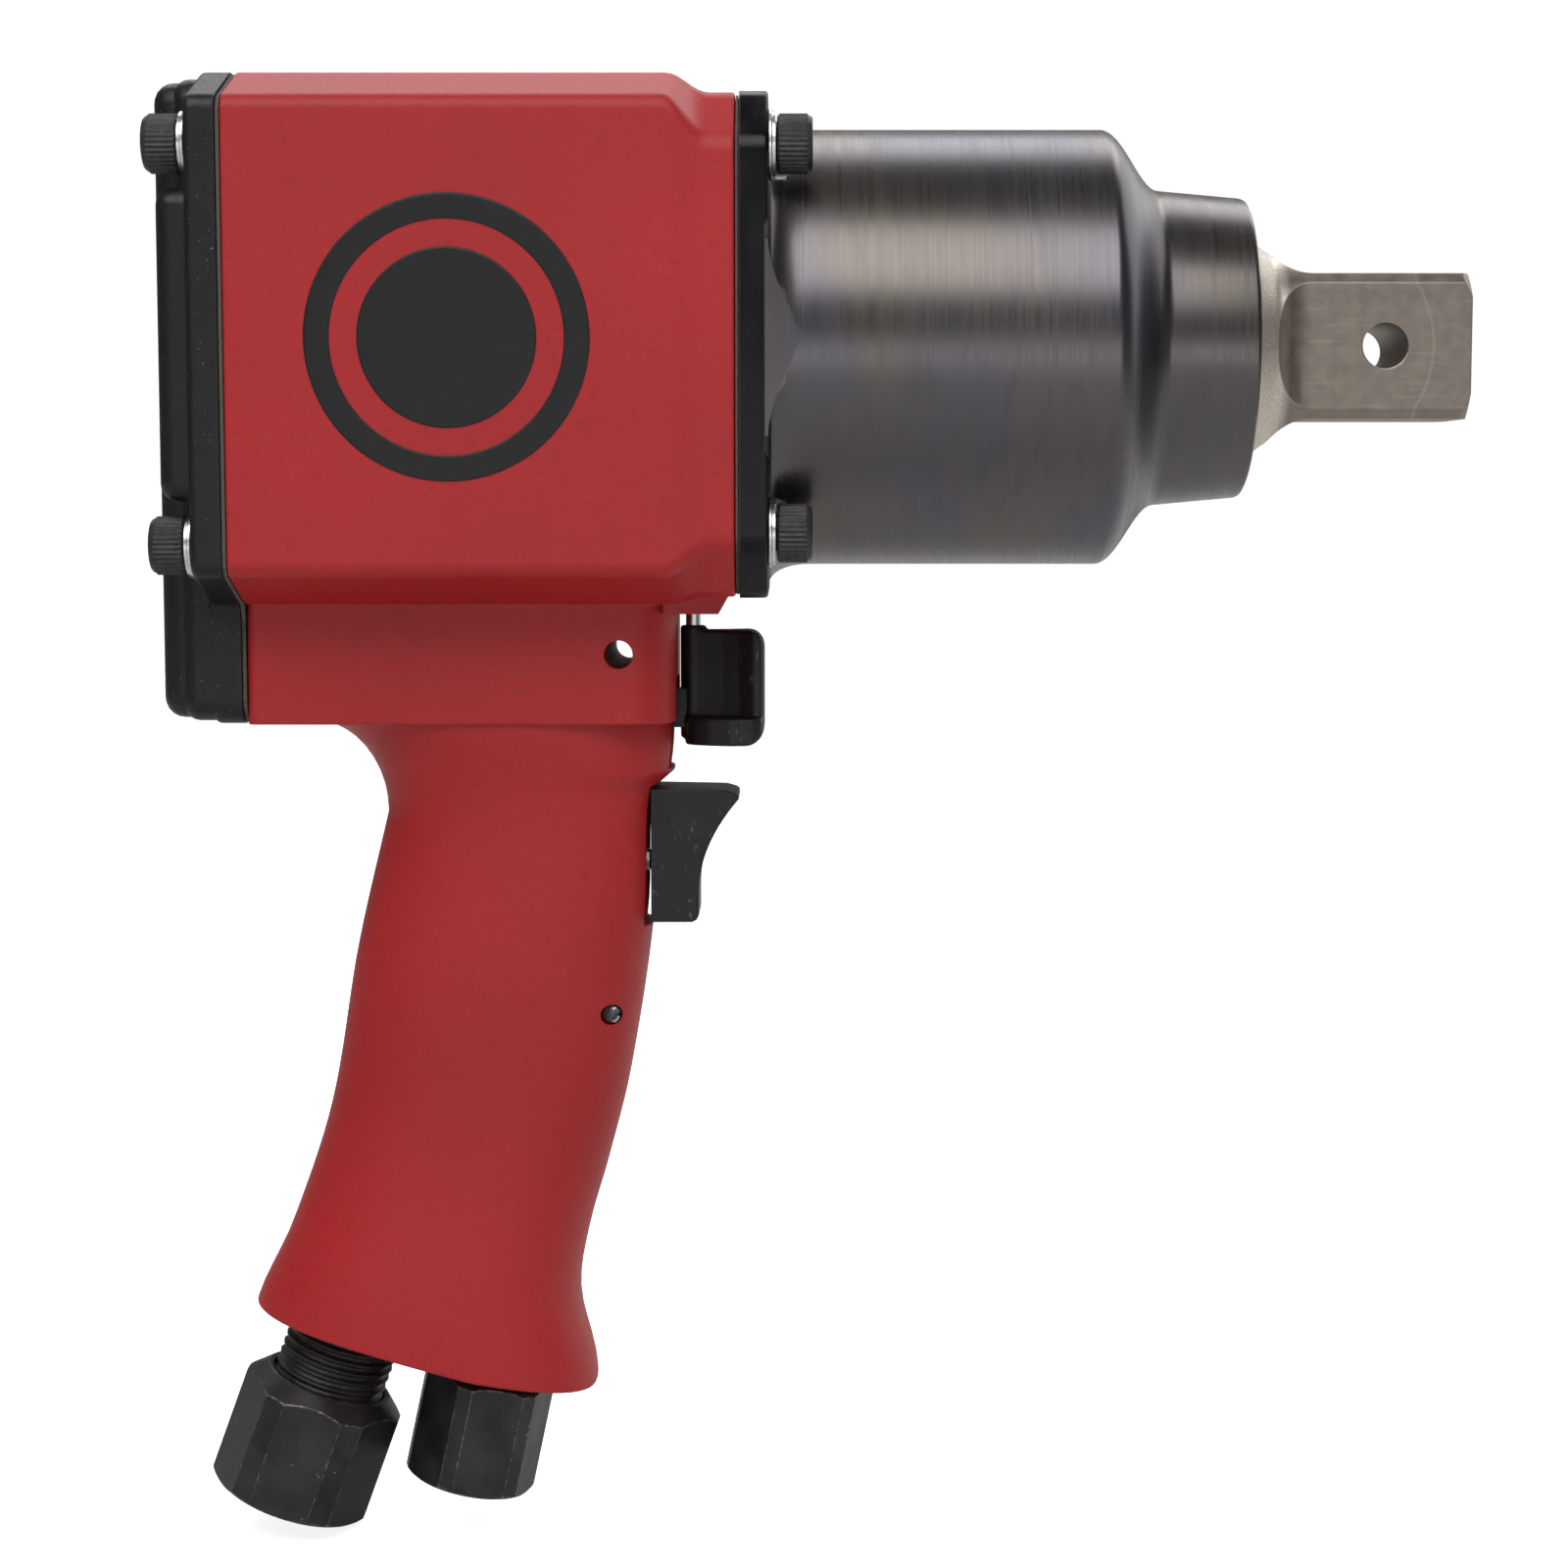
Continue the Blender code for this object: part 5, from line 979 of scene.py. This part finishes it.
for k in range(49):
    turn = math.radians(8 + 344 * k / 48)
    rise = 0.56 + 0.12 * k / 48
    coil.append([(x, r * math.cos(turn), r * math.sin(turn))
                 for x, r in ((rise, 3.35), (rise, 5.4), (rise + 0.5, 5.4), (rise + 0.5, 3.35))])
spring_washer = lofted("spring_washer", coil)
print("screw and washers made")

# %% [markdown]
# The copies are turned about their own axis as well, since no two screws stop at the
# same angle when they are tightened.

# %% Eight screws
half_turn = Matrix.Rotation(math.pi, 4, "Z")
number = 0
for side in ("front", "rear"):
    for corner in CORNERS:
        low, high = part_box(f"{side}_washer_{corner}")
        y, z = (low.y + high.y) / 2, (low.z + high.z) / 2
        seat = low.x if side == "front" else high.x
        spin = Matrix.Rotation(math.radians(37 * number + 11), 4, "X")
        out = Matrix.Identity(4) if side == "front" else half_turn
        number += 1
        for model, name, finish, lift in ((screw, "screw", "black_oxide_screw", 1.35),
                                          (flat_washer, "flat_washer", "bright_zinc", 0),
                                          (spring_washer, "spring_washer", "bright_zinc", 0)):
            piece = model.copy()
            piece.data = model.data.copy()
            piece.name = piece.data.name = f"{side}_{name}_{corner}_made"
            bpy.context.scene.collection.objects.link(piece)
            flip = half_turn if name == "screw" else Matrix.Identity(4)
            moved(piece, Matrix.Translation((seat, y, z)) @ out @ Matrix.Translation((lift * MM, 0, 0)) @ flip @ spin)
            nodes = {"screw": [f"{side}_screw_{corner}"], "flat_washer": [f"{side}_washer_{corner}"]}.get(name, [])
            finished(piece, "housing", nodes, finish, 30)
for model in (screw, flat_washer, spring_washer):
    bpy.data.objects.remove(model, do_unlink=True)

# %% [markdown]
# ## Anvil and square drive
#
# The anvil starts as a turned bar with its neck, flange and pilot. The square is then
# milled: four cuts whose ends curl up, as the cutter leaves them, so the flats run out
# into the neck in an arc. The bar's own roundness is left on the four corners. A cross
# hole takes the pin that keeps a socket on, and two jaws at the back take the blows.

# %% Anvil
anvil_low = box_mm("anvil")[0]
flange_front = box_mm("thrust_washer")[0].x - 0.3
jaw_front, pilot_x = flange_front - 5.5, anvil_low.x + 9.0
profile = [(0.0, 0.0), (0.0, 15.2), (-0.25, 15.5), (-1.3, 16.6), (-1.6, 16.73), (-33.6, 16.75), (-34.3, 16.9),
           (-35.0, 17.3), (-38.2, 19.65), (-38.9, 19.95), (-39.6, 20.0), (flange_front, 20.0), (flange_front, 26.8),
           (jaw_front, 26.8), (jaw_front, 9.0), (anvil_low.x + 1, 9.0), (anvil_low.x, 8.0), (anvil_low.x, 0.0)]
anvil = turned("anvil_milled", profile, 128)
flat, flat_end, run_out = 12.7, -27.8, 7.4
millings = []
for quarter in range(4):
    side = [(4.0, flat), (flat_end, flat)]
    side += [(flat_end - run_out * math.sin(math.radians(7.5 * k)),
              flat + run_out * (1 - math.cos(math.radians(7.5 * k)))) for k in range(1, 12)]
    side += [(-35.3, 22.0), (4.0, 22.0)]
    cutter = lofted("milling", [across_y(side, -22.0), across_y(side, 22.0)])
    moved(cutter, Matrix.Rotation(math.radians(90 * quarter), 4, "X"))
    millings.append(cutter)
use_tools(anvil, "DIFFERENCE", [millings[0], millings[2]])
use_tools(anvil, "DIFFERENCE", [millings[1], millings[3], bar((-15.1, -20, 0), (-15.1, 20, 0), 4.0, 48)])
jaws = []
for middle_turn in (90, -90):
    arc = [math.radians(middle_turn - 25 + 50 * k / 8) for k in range(9)]
    sector = [(29.0 * math.cos(a), 29.0 * math.sin(a)) for a in arc]
    sector += [(8.0 * math.cos(a), 8.0 * math.sin(a)) for a in reversed(arc)]
    jaws.append(lofted("jaw", [across_x(sector, pilot_x), across_x(sector, jaw_front + 1)]))
use_tools(anvil, "UNION", jaws)
finished(anvil, "anvil", ["anvil"], "phosphated_steel", 28)

# %% [markdown]
# ## Trigger
#
# The trigger is a flat piece of nylon seen from the side: straight back, hollow front,
# and a hooked top that keeps the finger from sliding off. It is drawn as that outline,
# extruded across, and its front rims are rounded wide for the finger.

# %% Trigger
back, low, high = trigger_low.x, trigger_low.z, trigger_high.z
front = back + 8.6
hollow = [(front + 7.2 * (1 - k / 14) ** 2, high - 1.8 - 0.7 * (high - low) * k / 14) for k in range(15)]
side = [(back, high), (front + 5.0, high - 0.25), (front + 6.6, high - 0.7), (front + 7.15, high - 1.1), *hollow,
        (front, low + 1.2), (front - 0.4, low + 0.4), (front - 1.2, low), (back, low)]
trigger = lofted("trigger_moulded", [across_y(side, trigger_low.y), across_y(side, trigger_high.y)])
trigger = round_edges(trigger, 1.3, 5, lambda at, angle, way: angle > 60 and at.x > front - 0.5 and abs(at.y) > 7.9)
trigger = round_edges(trigger, 0.4, 2, lambda at, angle, way: angle > 60)
finished(trigger, "trigger", ["trigger"], "glass_filled_nylon", 40)

# %% [markdown]
# ## Reverse lever
#
# The lever swings on an upright pin. It is a thin web with a thumb rim at its foot and a
# boss round the pin. The three solids are joined, then remeshed into one even skin and
# smoothed, which melts their corners together as the mould does.

# %% Reverse lever
lever_low, lever_high = box_mm("reverse_lever")
pin_low, pin_high = box_mm("lever_pin")
pin_x = (pin_low.x + pin_high.x) / 2
tip, foot, head = lever_high.x, lever_low.z, block_z + 15.8


def mirrored_plan(half):
    return half + [(x, -y) for x, y in reversed(half) if y > 0.0]


web_plan = mirrored_plan([(tip, 0.0), (tip, 5.3), (tip - 0.8, 6.5), (tip - 2.0, 6.4), (tip - 4.5, 4.6),
                          (tip - 7.5, 3.4), (pin_x + 2.2, 2.6), (pin_x, 2.2), (pin_x, 0.0)])
rim_plan = mirrored_plan([(tip, 0.0), (tip, 5.5), (tip - 0.6, 7.2), (tip - 2.0, 8.4), (tip - 6.0, 8.8),
                          (pin_x + 3.0, 7.6), (pin_x, 5.8), (pin_x - 1.4, 4.2), (pin_x - 1.4, 0.0)])
lever = lofted("reverse_lever_moulded", [across_z(web_plan, foot + 3.0), across_z(web_plan, head)])
rim = lofted("rim", [across_z(rim_plan, foot), across_z(rim_plan, foot + 5.0)])
boss = bar((pin_x, 0, foot + 1.0), (pin_x, 0, lever_high.z - 0.1), 2.35, 40)
use_tools(lever, "UNION", [rim, boss])
profile = eased([(tip, head, 3.0), (tip, foot, 3.5), (pin_x - 4.0, foot, 0.0), (pin_x - 4.0, head + 2.0, 0.0),
                 (pin_x + 3.2, head + 2.0, 0.0), (pin_x + 3.6, head, 0.0)], 8)
use_tools(lever, "INTERSECT", [lofted("side", [across_y(profile, -20), across_y(profile, 20)])])
melt = lever.modifiers.new("melt", "REMESH")
melt.mode, melt.voxel_size = "VOXEL", 0.3 * MM
smooth = lever.modifiers.new("smooth", "SMOOTH")
smooth.factor, smooth.iterations = 0.5, 10
only(lever)
bpy.ops.object.modifier_apply(modifier=melt.name)
bpy.ops.object.modifier_apply(modifier=smooth.name)
tongue = block_of((lever_low.x + 0.2, -2.0, reverse_high.z - 9.0), (pin_x, 2.0, reverse_high.z - 2.0))
use_tools(lever, "UNION", [tongue])
use_tools(lever, "DIFFERENCE", [bar((pin_x, 0, foot - 2), (pin_x, 0, head + 4), 1.65, 32)])
finished(lever, "reverse_lever", ["reverse_lever"], "glass_filled_nylon", 50)

# %% [markdown]
# The pin is ground steel with a chamfer at each end, and the roll pin in the grip is a
# rolled strip with a slit down its side.

# %% Pins
radius = (pin_high.x - pin_low.x) / 2
pin = turned("lever_pin_ground", [(pin_low.z, 0), (pin_low.z, radius - 0.3), (pin_low.z + 0.3, radius),
                                  (pin_high.z - 0.3, radius), (pin_high.z, radius - 0.3), (pin_high.z, 0)], 40)
moved(pin, Matrix.Translation((pin_x * MM, 0, 0)) @ Matrix.Rotation(math.radians(-90), 4, "Y"))
finished(pin, "housing", ["lever_pin"], "ground_steel", 30)
roll_low, roll_high = box_mm("roll_pin")
roll_x, roll_z = (roll_low.x + roll_high.x) / 2, (roll_low.z + roll_high.z) / 2
strip = []
for k in range(31):
    turn = math.radians(12 + 336 * k / 30)
    corners = ((roll_low.y, 1.1), (roll_low.y + 0.3, 1.55), (roll_high.y - 0.3, 1.55), (roll_high.y, 1.1))
    strip.append([(roll_x + r * math.cos(turn), y, roll_z + r * math.sin(turn)) for y, r in corners])
finished(lofted("roll_pin_rolled", strip), "housing", ["roll_pin"], "ground_steel", 30)

# %% [markdown]
# ## Air fittings
#
# Both fittings are bar with six flats whose corners are turned down, so that a spanner
# slips on. The hexagon is extruded, then kept inside a turned blank, which leaves the
# curved chamfers at its ends. The bores are cut last. Each is made upright on X and
# then leant over onto its own axis.


# %% Hexagon fittings
def bolt_hexagon(flats, corners, turn=0.0):
    """A hexagon across its flats, with its corners cut square to a width."""
    outline = []
    for side in range(12):
        near, far = (flats, corners) if side % 2 == 0 else (corners, flats)
        angle = math.radians(30 * side + turn)
        reach = (far / 2 - near / 2 * math.cos(math.radians(30))) / math.sin(math.radians(30))
        outline.append((near / 2 * math.cos(angle) - reach * math.sin(angle),
                        near / 2 * math.sin(angle) + reach * math.cos(angle)))
    return outline


def leaning(piece, foot, lean):
    """Stands a piece made along X on its foot, leaning forward."""
    stand = Matrix.Translation(foot * MM) @ Matrix.Rotation(lean, 4, "Y") @ Matrix.Rotation(math.radians(-90), 4, "Y")
    return moved(piece, stand)


def hexagon_bar(name, plan, length, blank_profile):
    """A hexagon bar whose ends are turned down by a blank."""
    made = lofted(name, [across_x(plan, -1), across_x(plan, length + 1)])
    return use_tools(made, "INTERSECT", [turned("blank", blank_profile, 96)])


coupling = hexagon_bar("exhaust_coupling_hex", bolt_hexagon(27.6, 29.4), 23.4, [
    (0, 0), (0, 13.4), (0.5, 14.3), (1.3, 15.2), (20.0, 15.25), (21.2, 13.9), (23.4, 11.6), (23.4, 0)])
use_tools(coupling, "DIFFERENCE", [bar((11.6, 0, 0), (26, 0, 0), 10.7, 64), bar((-2, 0, 0), (12, 0, 0), 8.6, 64)])
leaning(coupling, exhaust_foot, exhaust_lean)
finished(coupling, "housing", ["exhaust_coupling"], "black_oxide_fitting", 28)

bushing = hexagon_bar("inlet_bushing_hex", bolt_hexagon(22.0, 23.8, 13), 20.5, [
    (0, 0), (0, 10.9), (0.4, 11.6), (1.1, 12.3), (19.4, 12.3), (20.1, 11.6), (20.5, 10.9), (20.5, 0)])
spigot = turned("spigot", [(18.5, 0), (18.5, 9.4), (20.9, 9.4), (21.2, 8.8), (22.4, 8.8), (22.7, 9.4), (35.4, 9.4),
                           (35.8, 9.0), (35.8, 0)], 64)
use_tools(bushing, "UNION", [spigot])
use_tools(bushing, "DIFFERENCE", [bar((-2, 0, 0), (18.5, 0, 0), 7.3, 64), bar((17.5, 0, 0), (38, 0, 0), 6.0, 48)])
leaning(bushing, inlet_foot, inlet_lean)
finished(bushing, "housing", ["inlet_bushing"], "black_oxide_fitting", 28)

# %% [markdown]
# The exhaust nipple is pipe with a thread of 1.8 mm pitch. The thread is a ridge laid
# round it: its three-cornered section is extruded 24 times for each turn and rises by
# the pitch. The tube under it is as thick as the thread is deep at its root.

# %% Threaded nipple
nipple = turned("exhaust_nipple_threaded", [(11.9, 7.6), (11.9, 9.1), (12.3, 9.45), (47.5, 9.45), (47.9, 9.1),
                                            (47.9, 7.6), (11.9, 7.6)], 64)
pitch, sides, ridge = 1.8, 24, []
section = ((-0.78, 9.3), (-0.1, 10.35), (0.1, 10.35), (0.78, 9.3))
for k in range(int(34.0 / pitch * sides)):
    turn, rise = 2 * math.pi * k / sides, 12.9 + pitch * k / sides
    ridge.append([(rise + dx, r * math.cos(turn), r * math.sin(turn)) for dx, r in section])
thread = lofted("thread", ridge)
only(nipple)
thread.select_set(True)
bpy.ops.object.join()
leaning(nipple, exhaust_foot, exhaust_lean)
finished(nipple, "housing", ["exhaust_nipple"], "black_oxide_screw", 40)

# %% [markdown]
# ## Size
#
# The new pieces should keep to the box of the CAD model, so both boxes are printed side
# by side at the end.

# %% Size and finish
seen_low, seen_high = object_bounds()
for name, span in (("cad", cad_high - cad_low), ("visual", seen_high - seen_low)):
    print(name, [round(v / MM, 1) for v in span], "mm")
